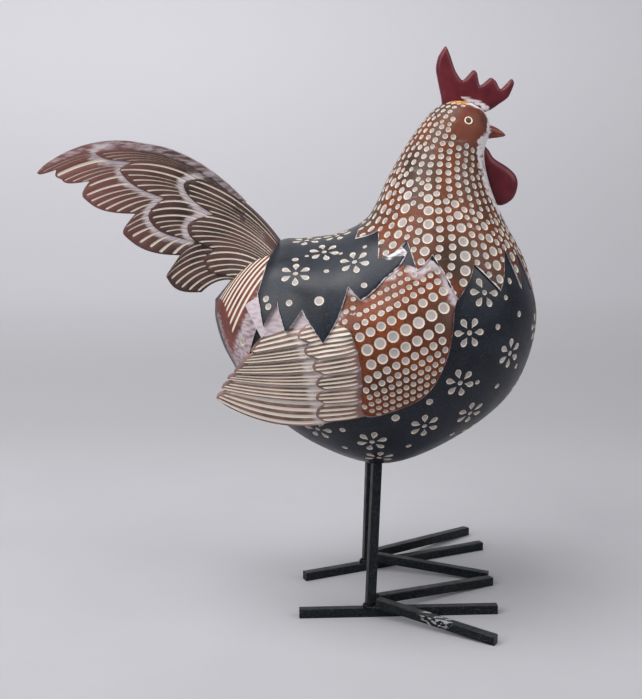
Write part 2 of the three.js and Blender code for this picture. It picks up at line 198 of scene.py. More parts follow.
def to_frame(points):
    return (np.asarray(points, float) + BIRD_ORIGIN) / 1000


def add_form(name, skin, zone, grooves=0, wash=0, home=casting_forms):
    # Mesh object of one form: its zone, and its paint as a map of groove paint and edge wash
    points, faces = skin
    points = np.asarray(points, float)
    fan = [(face[0], face[i], face[i + 1]) for face in faces for i in range(1, len(face) - 1)]
    a, b, c = (points[[tri[k] for tri in fan]] for k in range(3))
    if np.einsum("ij,ij->i", a, np.cross(b, c)).sum() < 0:
        faces = [face[::-1] for face in faces]
    mesh = bpy.data.meshes.new(name)
    mesh.from_pydata(to_frame(points).tolist(), [], [[int(i) for i in face] for face in faces])
    for material in zone_materials:
        mesh.materials.append(material)
    mesh.polygons.foreach_set("material_index", np.full(len(mesh.polygons), ZONE[zone], np.int32))
    paint = np.empty((len(points), 2))
    paint[:, 0] = np.ravel(grooves)
    paint[:, 1] = np.ravel(wash)
    corners = np.empty(len(mesh.loops), np.int32)
    mesh.loops.foreach_get("vertex_index", corners)
    layer = mesh.uv_layers.new(name="Paint")
    layer.uv.foreach_set("vector", paint[corners].astype(np.float32).ravel())
    made = bpy.data.objects.new(name, mesh)
    home.objects.link(made)
    return made


body_places = np.linspace(0.04, NECK_SECTION, BODY_ROWS)
body_rings = body_point(body_places[:, None], np.linspace(0, 360, BODY_ROUND, endpoint=False)[None], 0)
body_skin = tube(body_rings, body_point(0, 0, 0), body_rings[-1].mean(0))
body = add_form("body", body_skin, "navy")
casting_forms.objects.unlink(body)
body_tree = BVHTree.FromPolygons([Vector(p) for p in body_skin[0]], body_skin[1])


def body_side(x, z):
    # Half width of the body at places in side view, or a large number past its outline
    found = []
    for place in zip(np.ravel(x), np.ravel(z)):
        hit = body_tree.ray_cast(Vector((place[0], -150, place[1])), Vector((0, 1, 0)))[0]
        found.append(1000 if hit is None else -hit.y)
    return np.array(found).reshape(np.shape(x))


# Neck hackle and head
# A cape of carved feathers over the neck, a little proud of it, with a pointed lower edge and the head above.
# Rust-brown paint with a white dry-brushed rim; the face is bare and smooth, with white about comb and beak.

# Lower edge from the mid-back round to the breast: angle in degrees, body section
HACKLE_EDGE = [
    (180, 6.75), (160, 5.95), (154, 7.1), (138, 6.42), (131, 7.68), (118, 7.2), (113, 7.86), (92, 7.44),
    (86, 8.34), (67, 8.16), (53, 9.18), (45, 8.46), (33, 9.35), (22, 8.55), (10, 9.4), (0, 8.6),
]
EDGE_STEPS = 6
EDGE_DROP = 0.35
CAPE_STEP = 1.4
CAPE_HEAD_STEP = 0.5
LAYER_SINK = 3
SUNK_TOP = 12.5
FACE_MIDDLE = np.array([49.8, 251.8])
FACE_REACH = np.array([9.6, 9.9])
FOREHEAD_WASH = [(47, 264.6), (52, 263.8), (57.3, 261), (60.6, 256.8), (61, 252), (60, 246.5), (57, 242.5)]
FOREHEAD_REACH = 2.6
THROAT_WASH = [(57.5, 243), (57.3, 236), (59, 229), (61.8, 221.5), (65, 214.5), (67, 211)]
THROAT_REACH = 4.4
HACKLE_PARTS = np.concatenate([[0, 0.008], np.linspace(0.03, 1, 46)])


def broken(points):
    # Broken line through points, with the same number of steps from each to the next
    points = np.asarray(points, float)
    places = np.linspace(0, len(points) - 1, (len(points) - 1) * EDGE_STEPS + 1)
    return np.stack([np.interp(places, np.arange(len(points)), column) for column in points.T], -1)


def face_share(x, z):
    # 1 on the bare face and 0 past it, at places in side view
    across = (x - FACE_MIDDLE[0]) / FACE_REACH[0]
    above = (z - FACE_MIDDLE[1]) / FACE_REACH[1]
    return 1 - ease(np.hypot(across, above), 0.94, 1.06)


def face_wash(points):
    # White rubbed in over the forehead and down the throat
    flat = points[:, [0, 2]]
    forehead = distance_to(flat, FOREHEAD_WASH) / FOREHEAD_REACH
    throat = distance_to(flat, THROAT_WASH) / THROAT_REACH
    return 1 - ease(np.minimum(forehead, throat), 0.75, 1.25)


hackle_side = broken(HACKLE_EDGE)
hackle_round = np.vstack([hackle_side, hackle_side[-2:0:-1] * (-1, 1)])
angles = hackle_round[None, :, 0]
edges = hackle_round[None, :, 1]
parts = HACKLE_PARTS[:, None]
cape_lift = mix(CAPE_STEP, CAPE_HEAD_STEP, np.sqrt(parts)) - EDGE_DROP * (parts == 0)
cape_outer = body_point(mix(edges, CROWN_SECTION - 0.02, parts), angles, cape_lift)
cape_inner = body_point(mix(edges, SUNK_TOP, parts[::-1]), angles, -LAYER_SINK)
crown = body_point(CROWN_SECTION, 90, 0) + (0, 0, CAPE_HEAD_STEP)
cape_skin = tube(np.vstack([cape_inner, cape_outer]), cape_inner[0].mean(0), crown)
cape_points = cape_skin[0]
rim_wash = np.zeros(len(cape_points))
columns = len(hackle_round)
inner_end = len(HACKLE_PARTS) * columns
rim_wash[inner_end - columns:inner_end + columns] = 1
cape_wash = np.maximum(rim_wash, face_wash(cape_points))
cape_face = face_share(cape_points[:, 0], cape_points[:, 2])
add_form("hackle", cape_skin, "hackle", cape_face, cape_wash)


# Saddle
# A raised layer over the back, painted like the body, whose long points lie over the wings.
# It is carved in one with the bird, and its edge is rubbed white.
SADDLE_STEP = 0.9
SADDLE_OVER_WING = 4.6
SADDLE_EDGE = [
    (1.85, 130), (2, 104), (2.5, 89), (2.66, 109), (3.12, 96), (3.46, 112), (4.08, 100), (5.02, 129),
    (5.34, 121), (6.3, 127), (7.4, 128),
]
SADDLE_ACROSS = 92


def saddle_lift(section, degrees):
    # The layer stands off further where it lies over the wing
    share = ease(180 - degrees, 25, 62) * (1 - ease(section, 5, 6.2))
    return mix(SADDLE_STEP, SADDLE_OVER_WING, share)


saddle_edge = broken(SADDLE_EDGE)
across = np.concatenate([[0, 0.006], np.linspace(0.016, 0.984, SADDLE_ACROSS - 3), [0.994, 1]])
saddle_section = np.broadcast_to(saddle_edge[:, :1], (len(saddle_edge), len(across)))
saddle_degrees = mix(saddle_edge[:, 1:], 360 - saddle_edge[:, 1:], across[None])
saddle_rise = saddle_lift(saddle_section, np.minimum(saddle_degrees, 360 - saddle_degrees))
at_edge = np.broadcast_to((across == 0) | (across == 1), saddle_section.shape)
saddle_outer = body_point(saddle_section, saddle_degrees, saddle_rise - EDGE_DROP * at_edge)
saddle_inner = body_point(saddle_section, saddle_degrees, -LAYER_SINK)
saddle_skin = slab(saddle_outer, saddle_inner)
saddle_wash = np.concatenate([at_edge.ravel(), np.ones(at_edge.size)])
hackle_notch = body_point([6.95, 7.68, 7.2], [135, 131, 118], 1)
for hand in (-1, 1):
    from_notch = distance_to(saddle_skin[0], hackle_notch * (1, hand, 1))
    saddle_wash = np.maximum(saddle_wash, 1 - ease(from_notch, 1.2, 6))
add_form("saddle", saddle_skin, "navy", 0, saddle_wash)


# Wings
# Each wing lies flat on the side: a smooth shoulder covered with dots, and two rows of long carved feathers.
# The feathers are shingled and cut with fine lines, which are filled with white over red-brown paint.
WING_MIDDLE = (5, 143)
WING_OUT = 61
# Fall of the wing's flat ahead of and behind its middle, then above and below it
WING_FALL_ALONG = (0.0024, 0.004)
WING_FALL_ACROSS = (0.0095, 0.0068)
SHOULDER = [
    (-4.5, 112), (13, 115.5), (26.8, 124), (35, 140), (38.2, 155), (39.4, 166), (43.5, 176), (43, 190),
    (30, 200), (10, 199), (-9, 186), (-21, 173), (-22.5, 161.5), (-14, 155), (-9.5, 147), (-6, 132),
]
# Rings of the shoulder from its middle over its edge: share of its outline, and height over the wing's flat
SHOULDER_RINGS = [
    (0.06, 2.6), (0.25, 2.58), (0.45, 2.5), (0.6, 2.3), (0.72, 2.05), (0.82, 1.75), (0.89, 1.4), (0.94, 1.0),
    (0.975, 0.45), (1, -0.6), (1, -20), (0.06, -20),
]
SHOULDER_ROUND = 96
SHOULDER_PROUD = 0.8
SHINGLE = 0.9
WING_GROOVE = 0.45
WING_LINES = 4
FAR_WING = 0.9
FEATHER_TIP_DROP = 0.5
FEATHER_ROOT_DIVE = 2
PLAIN_SINK = 0.8
PLAIN_DEPTH = 7
# How side forms run in under the saddle and hackle: play, dive, curve beside the edge, and softness
TUCK = 0.9
TUCK_DIVE = 0.6
TUCK_CURVE = 16
TUCK_SOFT = 0.7
# Shape of one groove across its pitch: place and share of the full depth
WIDE_GROOVE = [(0, 0), (0.2, 0), (0.38, 1), (0.62, 1), (0.8, 0)]
# Lower edges of the feathers, top one first, as root, control point and tip in side view, then the top edge
SECONDARIES = [
    [(0, 156), (-16, 151.5), (-36, 148)], [(0, 148), (-14, 143.5), (-31.5, 140.6)],
    [(0, 139), (-12, 135.5), (-28, 133)], [(0, 130), (-12, 127.5), (-28, 125.4)],
    [(0, 121.5), (-12, 119.5), (-28, 118)], [(0, 112.6), (-12, 109.8), (-28, 107.6)],
    [(0, 166), (-18, 161), (-38, 156)],
]
PRIMARIES = [
    [(-18, 152), (-40, 146.6), (-61, 141)], [(-18, 144.5), (-40, 139.4), (-65.4, 135.4)],
    [(-18, 137), (-40, 132.4), (-69.6, 130)], [(-18, 129.5), (-40, 125.4), (-73.2, 126)],
    [(-18, 121), (-40, 117.2), (-76.4, 120.2)], [(-18, 108.5), (-48, 97.8), (-79.4, 114)],
    [(-18, 163), (-38, 159), (-55.5, 150.5)],
]
# Upper edge of the plain strip above the long feathers, which runs under the saddle
PLAIN_TOP = [(-18, 182), (-42, 181), (-63, 164)]
# Edge of the saddle and hackle over the wing in side view, with how far each stands off the body
over_wing = saddle_edge[:, 0] < 7.2
beside_wing = (hackle_side[:, 0] < 121) & (hackle_side[:, 0] > 80)
cover_lift = np.concatenate([saddle_rise[over_wing, 0], np.full(beside_wing.sum(), CAPE_STEP)])
cover_section = np.concatenate([saddle_edge[over_wing, 0], hackle_side[beside_wing, 1]])
cover_degrees = np.concatenate([saddle_edge[over_wing, 1], hackle_side[beside_wing, 0]])
cover_line = body_point(cover_section, cover_degrees, cover_lift)[:, [0, 2]]
cover_region = np.vstack([cover_line, [(70, 240), (-80, 240)]])


def wing_face(x, z):
    # How far the wing's flat stands out at places in side view
    ahead = x - WING_MIDDLE[0]
    above = z - WING_MIDDLE[1]
    fall_along = np.where(ahead > 0, *WING_FALL_ALONG) * ahead ** 2
    fall_across = np.where(above > 0, *WING_FALL_ACROSS) * above ** 2
    return WING_OUT - fall_along - fall_across


def inside(points, outline):
    # True for each point within an outline
    x, z = points.T
    within = np.zeros(len(points), bool)
    for (ax, az), (bx, bz) in zip(outline, np.roll(outline, -1, 0)):
        level = (az > z) != (bz > z)
        within ^= level & (x < (bx - ax) * (z - az) / ((bz - az) or 1) + ax)
    return within


def tucked(x, z, out):
    # Draws a side form in, so that it runs under the saddle and the hackle
    flat = np.column_stack([np.ravel(x), np.ravel(z)])
    nearest = np.linalg.norm(flat[:, None] - cover_line[None], axis=2).argmin(1)
    away = distance_to(flat, cover_line)
    room = np.maximum(cover_lift[nearest] - TUCK, 0.15)
    room += np.where(inside(flat, cover_region), -TUCK_DIVE * away, away ** 2 / TUCK_CURVE)
    limit = body_side(x, z) + room.reshape(np.shape(x))
    return -np.logaddexp(-out / TUCK_SOFT, -limit / TUCK_SOFT) * TUCK_SOFT


def bend(points, place):
    # Curve from a root by way of a control point to a tip
    root, control, tip = (np.asarray(p, float) for p in points)
    place = np.asarray(place, float)[..., None]
    return (1 - place) ** 2 * root + 2 * place * (1 - place) * control + place ** 2 * tip


def groove_columns(count, shape):
    # Places across a feather, and how deep each lies, for a number of even grooves
    places = [(line + place) / count for line in range(count) for place, depth in shape] + [1]
    depths = [depth for line in range(count) for place, depth in shape] + [0]
    return np.array(places), np.array(depths)


def side_feathers(lines, hand, lift, depth, blunt, lead, rows, fade, length=1):
    # Shingled feathers on the side of the bird: closed skin, groove paint and edge wash
    top = lines[-1]
    lower_edges = lines[:-1]
    part, cut = groove_columns(WING_LINES, WIDE_GROOVE)
    outer, inner, paint, wash = [], [], [], []
    for number in range(len(lower_edges) - 1, -1, -1):
        upper = lower_edges[number - 1] if number else top
        for p, deep in zip(part, cut):
            reach = length - blunt * ((p - lead) / (1 - lead if p > lead else lead)) ** 2
            run = np.linspace(0, 1, rows) ** 0.8
            place = mix(bend(lower_edges[number], run * reach), bend(upper, run * reach), p)
            from_tip = np.linalg.norm(place - place[-1], axis=1)
            ends = ease(from_tip, 0.8, 1.8 + 3 * abs(p - lead))
            ends = ends * ease(run, fade - 0.12, fade + 0.12)
            slope = SHINGLE * (1 - 2 * p) * ease(run, fade - 0.1, fade + 0.3)
            level = lift + slope - WING_GROOVE * deep * ends
            sunk = 1 - ease(run, fade - 0.3, fade + 0.1)
            level = level - FEATHER_TIP_DROP * (run == 1) - FEATHER_ROOT_DIVE * sunk
            face = wing_face(place[:, 0], place[:, 1])
            out = tucked(place[:, 0], place[:, 1], face + level)
            outer.append(np.stack([place[:, 0], hand * out, place[:, 1]], -1))
            inner.append(np.stack([place[:, 0], hand * (np.minimum(face, out) - depth), place[:, 1]], -1))
            paint.append(deep * ends)
            wash.append(np.full(rows, 0.8 * ease(p, 0.7, 1.0)))
    paint = np.stack(paint)
    wash = np.stack(wash)
    skin = slab(np.stack(outer), np.stack(inner))
    return skin, np.concatenate([paint.ravel(), paint.ravel() * 0]), np.concatenate([wash.ravel()] * 2)


def plain_strip(hand, rows, across):
    # Smooth strip between the top long feather and the saddle
    run = np.linspace(0, 1, rows)
    share = np.linspace(-0.15, 1, across)[:, None, None]
    place = mix(bend(PRIMARIES[-1], run)[None], bend(PLAIN_TOP, run)[None], share)
    out = tucked(place[..., 0], place[..., 1], wing_face(place[..., 0], place[..., 1]) - PLAIN_SINK)
    outer = np.stack([place[..., 0], hand * out, place[..., 1]], -1)
    return slab(outer, outer - (0, hand * PLAIN_DEPTH, 0))


def shoulder(hand):
    # Smooth swelling plate with its front and top under hackle and saddle: closed skin and edge wash
    count = len(SHOULDER)
    closed = SHOULDER[-2:] + SHOULDER + SHOULDER[:2]
    rim = through(closed, 2 + np.linspace(0, count, SHOULDER_ROUND, endpoint=False))
    middle = rim.mean(0)
    rings = []
    for size, lift in SHOULDER_RINGS:
        flat = mix(middle, rim, size)
        out = wing_face(flat[:, 0], flat[:, 1]) + lift
        if lift > -5:
            side = body_side(flat[:, 0], flat[:, 1])
            out = np.maximum(out, np.where(side < 500, side, -500) + SHOULDER_PROUD * (size < 1))
            out = tucked(flat[:, 0], flat[:, 1], out)
        rings.append(np.stack([flat[:, 0], hand * out, flat[:, 1]], -1))
    rings = np.array(rings)
    skin = tube(rings, rings[0].mean(0), rings[-1].mean(0))
    wash = np.repeat([0.6 * ease(size, 0.97, 1.0) for size, lift in SHOULDER_RINGS], SHOULDER_ROUND)
    wash = np.concatenate([wash, [0, 0]])
    flat = skin[0][:, [0, 2]]
    wash = np.maximum(wash, 1 - ease(distance_to(flat, cover_line[over_wing.sum():]), 1.8, 5.2))
    wash = np.maximum(wash, 1 - ease(distance_to(flat, cover_line), 0.3, 1.6))
    return skin, wash


for hand, side in ((-1, "right"), (1, "left")):
    skin, wash = shoulder(hand)
    add_form(side + "_shoulder", skin, "shoulder", 0, wash)
    skin, grooves, wash = side_feathers(
        SECONDARIES, hand, lift=1.4, depth=8, blunt=0.14, lead=0.42, rows=24, fade=0.36
    )
    add_form(side + "_secondaries", skin, "wing", grooves, wash)
    length = 1 if hand < 0 else FAR_WING
    skin, grooves, wash = side_feathers(
        PRIMARIES, hand, lift=0, depth=7, blunt=0.07, lead=0.15, rows=30, fade=0.1, length=length
    )
    tips = [bend(line, 0.93) for line in SECONDARIES]
    wash = np.maximum(wash, 0.8 * (1 - ease(distance_to(skin[0][:, [0, 2]], tips), 1.0, 6)))
    add_form(side + "_primaries", skin, "wing", grooves, wash)
    add_form(side + "_plain_strip", plain_strip(hand, rows=24, across=16), "rump", 0, 0.85)


# Rump feathers
# A broad curved tuft on each side of the rump, between tail and wing tips, carved in one with the body.
# Its lines are filled with white over red-brown, and it fades to a pale rubbed strip beside the wing.

# Upper and lower edge, as root, control point and end: body section, angle in degrees
RUMP_TOP = [(1.75, 178), (0.1, 178), (0.35, 44)]
RUMP_LOW = [(2.6, 124), (2.1, 84), (2.7, 22)]
RUMP_LINES = 8
RUMP_LINED = 0.7
RUMP_LINE_END = 0.86
RUMP_STEP = 0.8
RUMP_ROWS = 30
RUMP_PLAIN_STEPS = 7


def rump_feathers():
    # Outer and inner face of the tuft, its groove paint and its wash
    part, cut = groove_columns(RUMP_LINES, WIDE_GROOVE)
    part = np.concatenate([part * RUMP_LINED, np.linspace(RUMP_LINED, 1, RUMP_PLAIN_STEPS + 1)[1:]])
    cut = np.concatenate([cut, np.zeros(RUMP_PLAIN_STEPS)])
    run = np.linspace(0, 1, RUMP_ROWS)
    ends = 1 - ease(run, RUMP_LINE_END - 0.08, RUMP_LINE_END)
    places = mix(bend(RUMP_TOP, run)[None], bend(RUMP_LOW, run)[None], part[:, None, None])
    grooves = cut[:, None] * ends[None]
    border = np.minimum(ease(part, 0, 0.05)[:, None], ease(1 - run, 0, 0.06)[None])
    outer = body_point(places[..., 0], places[..., 1], RUMP_STEP * border - WING_GROOVE * grooves)
    inner = body_point(places[..., 0], places[..., 1], -LAYER_SINK)
    beside = ease(part, RUMP_LINED, RUMP_LINED + 0.1)[:, None]
    below = ease(run, RUMP_LINE_END + 0.02, RUMP_LINE_END + 0.1)[None] * ease(part, 0.1, 0.3)[:, None]
    wash = np.maximum(0.65 * beside, 0.45 * below)
    return outer, inner, grooves, wash


outer, inner, grooves, wash = rump_feathers()
for hand, side in ((-1, "right"), (1, "left")):
    skin = slab(outer * (1, hand, 1), inner * (1, hand, 1))
    add_form(side + "_rump_feathers", skin, "rump", np.tile(grooves.ravel(), 2), np.tile(wash.ravel(), 2))


# Tail
# A raised fan of three layers of broad feathers, alike on both sides, carved in one with the rump.
# Each feather is cut with long lines; cream paint fills them, and pale wash lies in the steps between layers.
TAIL_GROOVE = 0.5
TAIL_LINE_PITCH = 3.6
FINE_GROOVE = [(0, 0), (0.31, 0), (0.45, 1), (0.55, 1), (0.69, 0)]
TAIL_FLARE = 15
TAIL_FLARE_LENGTH = 13
TAIL_TIP_BULGE = 4
TAIL_RIM = 1.6
TAIL_HAZE = 0.4
# Edge and centre line of each feather in turn, in the mid-plane, as root, control point and end
TAIL_OUTER = [
    [(-46, 192), (-113, 269.5), (-168, 231)], [(-47, 190), (-111, 263), (-171.2, 227)],
    [(-48, 189), (-106, 257), (-161.5, 228.9)], [(-49, 187.5), (-105, 251), (-159, 224)],
    [(-50, 186), (-101, 243), (-144.7, 223)], [(-51, 184.5), (-101, 236), (-147, 213.5)],
    [(-52, 182.5), (-94, 224), (-121.6, 206.3)], [(-53.5, 180), (-94, 216), (-127.5, 195)],
    [(-55, 177.5), (-85, 203), (-99, 184.8)], [(-57, 175), (-84, 194), (-106, 173)],
    [(-60, 169), (-76, 178), (-88, 165.5)],
]
TAIL_MIDDLE = [
    [(-47, 191), (-90, 252), (-136, 240.6)], [(-48, 189.5), (-90, 247), (-141.2, 237.2)],
    [(-49, 188), (-87, 238), (-122.4, 233)], [(-50, 186), (-87, 230), (-128.6, 227.6)],
    [(-51.5, 184), (-83, 219), (-106.3, 214.5)], [(-53, 181), (-84, 210), (-114, 202.5)],
    [(-55, 177), (-78, 196), (-94, 192.8)],
]
TAIL_INNER = [
    [(-46.5, 191.5), (-64, 217), (-88, 224.5)], [(-47.5, 190), (-66, 212), (-96.4, 221)],
    [(-49, 188), (-66, 204), (-81.5, 206.3)], [(-50.5, 185.5), (-70, 200), (-94.8, 199.3)],
    [(-52, 182), (-67, 191), (-81.5, 188.2)], [(-54, 178), (-68, 185), (-85.6, 180.2)],
    [(-57, 173), (-65, 176), (-73, 174.2)],
]


def tail_layer(lines, start, half_thickness, rows, plain=0):
    # Grid of the layer in side view with its half thickness and its groove paint
    run = np.concatenate([np.linspace(start, 0.975, rows - 3), [0.986, 0.994, 1]])
    shares = np.random.default_rng(SEED)
    halves = len(lines) - 1
    flat, thick, paint, haze = [], [], [], []
    for half in range(halves):
        first = bend(lines[half], run)
        second = bend(lines[half + 1], run)
        broad = np.linalg.norm(bend(lines[half], 0.75) - bend(lines[half + 1], 0.75))
        count = int(np.clip(round(broad / TAIL_LINE_PITCH), 1, 5))
        spacing = np.linalg.norm(first - second, axis=1) / count
        part, cut = groove_columns(count, FINE_GROOVE)
        starts = np.repeat(shares.uniform(1.0, 4.0, count), len(FINE_GROOVE))
        for number, (p, deep) in enumerate(zip(part, cut)):
            if p == 1 and half < halves - 1:
                continue
            place = mix(first, second, p)
            heading = np.gradient(place, axis=0)
            heading /= np.maximum(np.linalg.norm(heading, axis=1, keepdims=True), 1e-6)
            bulge = TAIL_TIP_BULGE * min(broad / 11, 1)
            place = place + heading * (bulge * np.sin(np.pi * p) * run ** 5)[:, None]
            from_tip = np.linalg.norm(place - place[-1], axis=1)
            root = mix(bend(lines[half], 0.0), bend(lines[half + 1], 0.0), p)
            from_root = np.linalg.norm(place - root, axis=1)
            share = mix(0.3, 1, ease((half + p) / halves, 0, 0.5))
            flare = TAIL_FLARE * share * np.exp(-from_root / TAIL_FLARE_LENGTH)
            begin = starts[min(number, len(starts) - 1)]
            groove = deep * (half >= plain) * ease(from_tip, begin * 0.6, begin) * ease(spacing, 0.7, 1.4)
            round_off = np.sqrt(1 - (1 - np.clip(from_tip / TAIL_RIM, 0, 1)) ** 2)
            flat.append(place)
            thick.append((half_thickness + flare) * mix(0.45, 1, round_off) - TAIL_GROOVE * groove)
            paint.append(groove)
            haze.append(np.full(rows, TAIL_HAZE * (half < plain)))
    return np.stack(flat), np.stack(thick), np.stack(paint), np.stack(haze)


def tail_skin(flat, thick):
    sides = [np.stack([flat[..., 0], hand * thick, flat[..., 1]], -1) for hand in (-1, 1)]
    return slab(*sides)


inner = tail_layer(TAIL_INNER, start=0, half_thickness=4.2, rows=22)
middle = tail_layer(TAIL_MIDDLE, start=0.2, half_thickness=3.1, rows=28, plain=1)
outer = tail_layer(TAIL_OUTER, start=0.08, half_thickness=2.0, rows=34, plain=1)
for name, layer, above in (
    ("tail_inner", inner, None), ("tail_middle", middle, inner), ("tail_outer", outer, middle),
):
    flat, thick, grooves, haze = layer
    wash = haze.ravel()
    if above:
        step = distance_to(flat.reshape(-1, 2), above[0][:, -1])
        wash = np.maximum(wash, 1 - ease(step, 1.2, 4.4))
    add_form(name, tail_skin(flat, thick), "tail", np.tile(grooves.ravel(), 2), np.tile(wash, 2))


# Comb and wattle
# Upright comb with a tall rear point and three smaller ones, and the wattle, both cast with the head.
# They are thick plates with well rounded edges, in satin burgundy paint.
COMB = [
    (38, 258), (35.5, 266), (32.7, 279), (33.8, 285.5), (37.4, 290.8), (39.8, 286.4), (42.5, 279),
    (46.3, 273.9), (51.4, 278.9), (53.6, 277.6), (55.3, 271.4), (60.4, 275.2), (63.4, 273.4),
    (65.8, 269.6), (71, 274.6), (72.6, 272.2), (69.9, 265.6), (65.2, 262), (58, 258),
]
WATTLE = [
    (55, 243.5), (60, 239.5), (63.4, 234.7), (70.3, 230.3), (74.8, 225.9), (75.9, 220.4),
    (73.4, 213.8), (67, 210.5), (62.6, 214.4), (59.2, 225.9), (55.5, 236),
]
COMB_THICKNESS = 6
COMB_EDGE = 1.8
COMB_PULL = 0.3
WATTLE_THICKNESS = 7
WATTLE_EDGE = 3.6
WATTLE_PULL = 0.5
PLATE_INSETS = (0.25, 0.8, 1.7)
PLATE_PITCH = 1.5


def pillow(outline, thickness, edge, pull):
    # Plate in the mid-plane that swells from its outline to its full thickness
    count = len(outline)
    closed = outline[-2:] + outline + outline[:2]
    rim = through(closed, 2 + np.linspace(0, count, count * 5, endpoint=False), pull)
    ahead = np.roll(rim, -1, 0) - np.roll(rim, 1, 0)
    inward = np.stack([ahead[:, 1], -ahead[:, 0]], -1) / np.linalg.norm(ahead, axis=1, keepdims=True)
    loop = np.vstack([rim, rim[:1]])
    if np.cross(rim, np.roll(rim, -1, 0)).sum() > 0:
        inward = -inward
    points = [rim]
    for inset in PLATE_INSETS:
        ring = rim + inward * inset
        points.append(ring[distance_to(ring, loop) > inset * 0.92])
    low, high = rim.min(0), rim.max(0)
    lines = [np.arange(a, b, PLATE_PITCH) for a, b in zip(low, high)]
    lattice = np.stack(np.meshgrid(*lines), -1).reshape(-1, 2)
    points.append(lattice[distance_to(lattice, loop) > PLATE_INSETS[-1] + PLATE_PITCH * 0.5])
    points = np.vstack(points)
    border = [(i, (i + 1) % len(rim)) for i in range(len(rim))]
    made = delaunay_2d_cdt([Vector(p) for p in points], border, [], 1, 1e-5)
    flat = np.array([tuple(p) for p in made[0]])
    faces = [list(face) for face in made[2]]
    depth = distance_to(flat, loop)
    on_rim = depth < 1e-4
    swell = np.sqrt(1 - (1 - np.clip(depth / edge, 0, 1)) ** 2) * thickness / 2
    swell = np.where(on_rim, 0, swell)
    other = np.where(on_rim, np.arange(len(flat)), len(flat) + np.cumsum(~on_rim) - 1)
    near = np.stack([flat[:, 0], -swell, flat[:, 1]], -1)
    far = np.stack([flat[:, 0], swell, flat[:, 1]], -1)[~on_rim]
    return np.vstack([near, far]), faces + [[int(other[i]) for i in face[::-1]] for face in faces]


for name, outline, thickness, edge, pull in (
    ("comb", COMB, COMB_THICKNESS, COMB_EDGE, COMB_PULL),
    ("wattle", WATTLE, WATTLE_THICKNESS, WATTLE_EDGE, WATTLE_PULL),
):
    skin = pillow(outline, thickness, edge, pull)
    wash = 0.9 * (1 - ease(distance_to(skin[0][:, [0, 2]], FOREHEAD_WASH), 0.6, 2.2))
    add_form(name, skin, "red", 0, wash)


# Beak
# A short cone with a slightly hooked tip and a cut line for the mouth, cast with the head.
# Painted the red-brown of the face, with white rubbed in round its root.
BEAK_ROOT = np.array([54, 248.8])
BEAK_TIP = np.array([69, 247.3])
# Distance from the root and radius
BEAK_PROFILE = [(0.5, 5.0), (3, 4.7), (6.5, 3.6), (9, 2.9), (11, 2.3), (13, 1.5), (14.2, 0.9), (14.8, 0.4)]
BEAK_ROUND = 28

beak_axis = (BEAK_TIP - BEAK_ROOT) / np.linalg.norm(BEAK_TIP - BEAK_ROOT)
beak_up = np.array([-beak_axis[1], beak_axis[0]])
beak_turn = np.linspace(0, 2 * np.pi, BEAK_ROUND, endpoint=False)
mouth = np.exp(-((np.sin(beak_turn) + 0.16) / 0.12) ** 2)
beak_rings = []
for along, radius in BEAK_PROFILE:
    middle = BEAK_ROOT + beak_axis * along - beak_up * 0.012 * max(along - 6, 0) ** 2
    around = radius * (1 - 0.13 * mouth)
    rise = around * np.sin(beak_turn)
    ring = middle + beak_up * rise[:, None]
    beak_rings.append(np.stack([ring[:, 0], 0.88 * around * np.cos(beak_turn), ring[:, 1]], -1))
beak_rings = np.array(beak_rings)
beak_point = np.array([BEAK_TIP[0], 0, BEAK_TIP[1] - 0.9])
beak_skin = tube(beak_rings, beak_rings[0].mean(0), beak_point)
beak_reach = (beak_skin[0][:, [0, 2]] - BEAK_ROOT) @ beak_axis
beak_grooves = np.append(np.tile(mouth, len(BEAK_PROFILE)), [0, 0])
add_form("beak", beak_skin, "beak", beak_grooves, 1 - ease(beak_reach, 5.2, 8))


# Eyes
# A thin raised cream ring on each side of the head with a small dark dome in it.
# Both are part of the casting and are picked out with a fine brush.
EYE_SECTION = 13.08
EYE_ANGLE = 85
EYE_RING = 1.8
EYE_WIRE = 0.32
EYE_LIFT = 0.72
EYE_ROUND = 28
WIRE_ROUND = 10
PUPIL = 1.05
# Share of the pupil's radius, and height
PUPIL_DOME = [(1.0, -1.2), (1.0, -0.1), (0.9, 0.16), (0.65, 0.36), (0.3, 0.48)]
PUPIL_TOP = 0.5


def eye_frame(hand):
    # Middle of an eye, the way out of the head, and the two ways along it
    sections = EYE_SECTION + np.array([0, 0.2, 0])
    degrees = hand * (EYE_ANGLE + np.array([0, 0, 8]))
    place, ahead, beside = body_point(sections, degrees, EYE_LIFT)
    out = np.cross(ahead - place, beside - place)
    out *= hand * np.sign(out[1]) / np.linalg.norm(out)
    across = np.cross((0, 0, 1), out)
    across /= np.linalg.norm(across)
    return place, out, across, np.cross(out, across)


for hand, side in ((-1, "right"), (1, "left")):
    place, out, across_eye, up = eye_frame(hand)
    turn = np.linspace(0, 2 * np.pi, EYE_ROUND, endpoint=False)
    spokes = np.cos(turn)[:, None] * across_eye + np.sin(turn)[:, None] * up
    rings = []
    for angle in np.linspace(0, 2 * np.pi, WIRE_ROUND, endpoint=False):
        rings.append(place + spokes * (EYE_RING + EYE_WIRE * np.cos(angle)) + out * EYE_WIRE * np.sin(angle))
    index = np.arange(WIRE_ROUND * EYE_ROUND).reshape(WIRE_ROUND, EYE_ROUND)
    index = np.vstack([index, index[:1]])
    index = np.hstack([index, index[:, :1]])
    add_form(side + "_eye_ring", (np.vstack(rings), quads(index)), "eye_ring")
    rings = np.array([place + spokes * PUPIL * size + out * height for size, height in PUPIL_DOME])
    add_form(side + "_pupil", tube(rings, rings[0].mean(0), place + out * PUPIL_TOP), "pupil")


# Joining the casting
# The mould gives body, hackle, saddle, wings, tail and head as one skin, so the forms become one mesh here.
# Two square sockets in the belly take the ends of the legs.
SOCKET_SIDE = 5.4
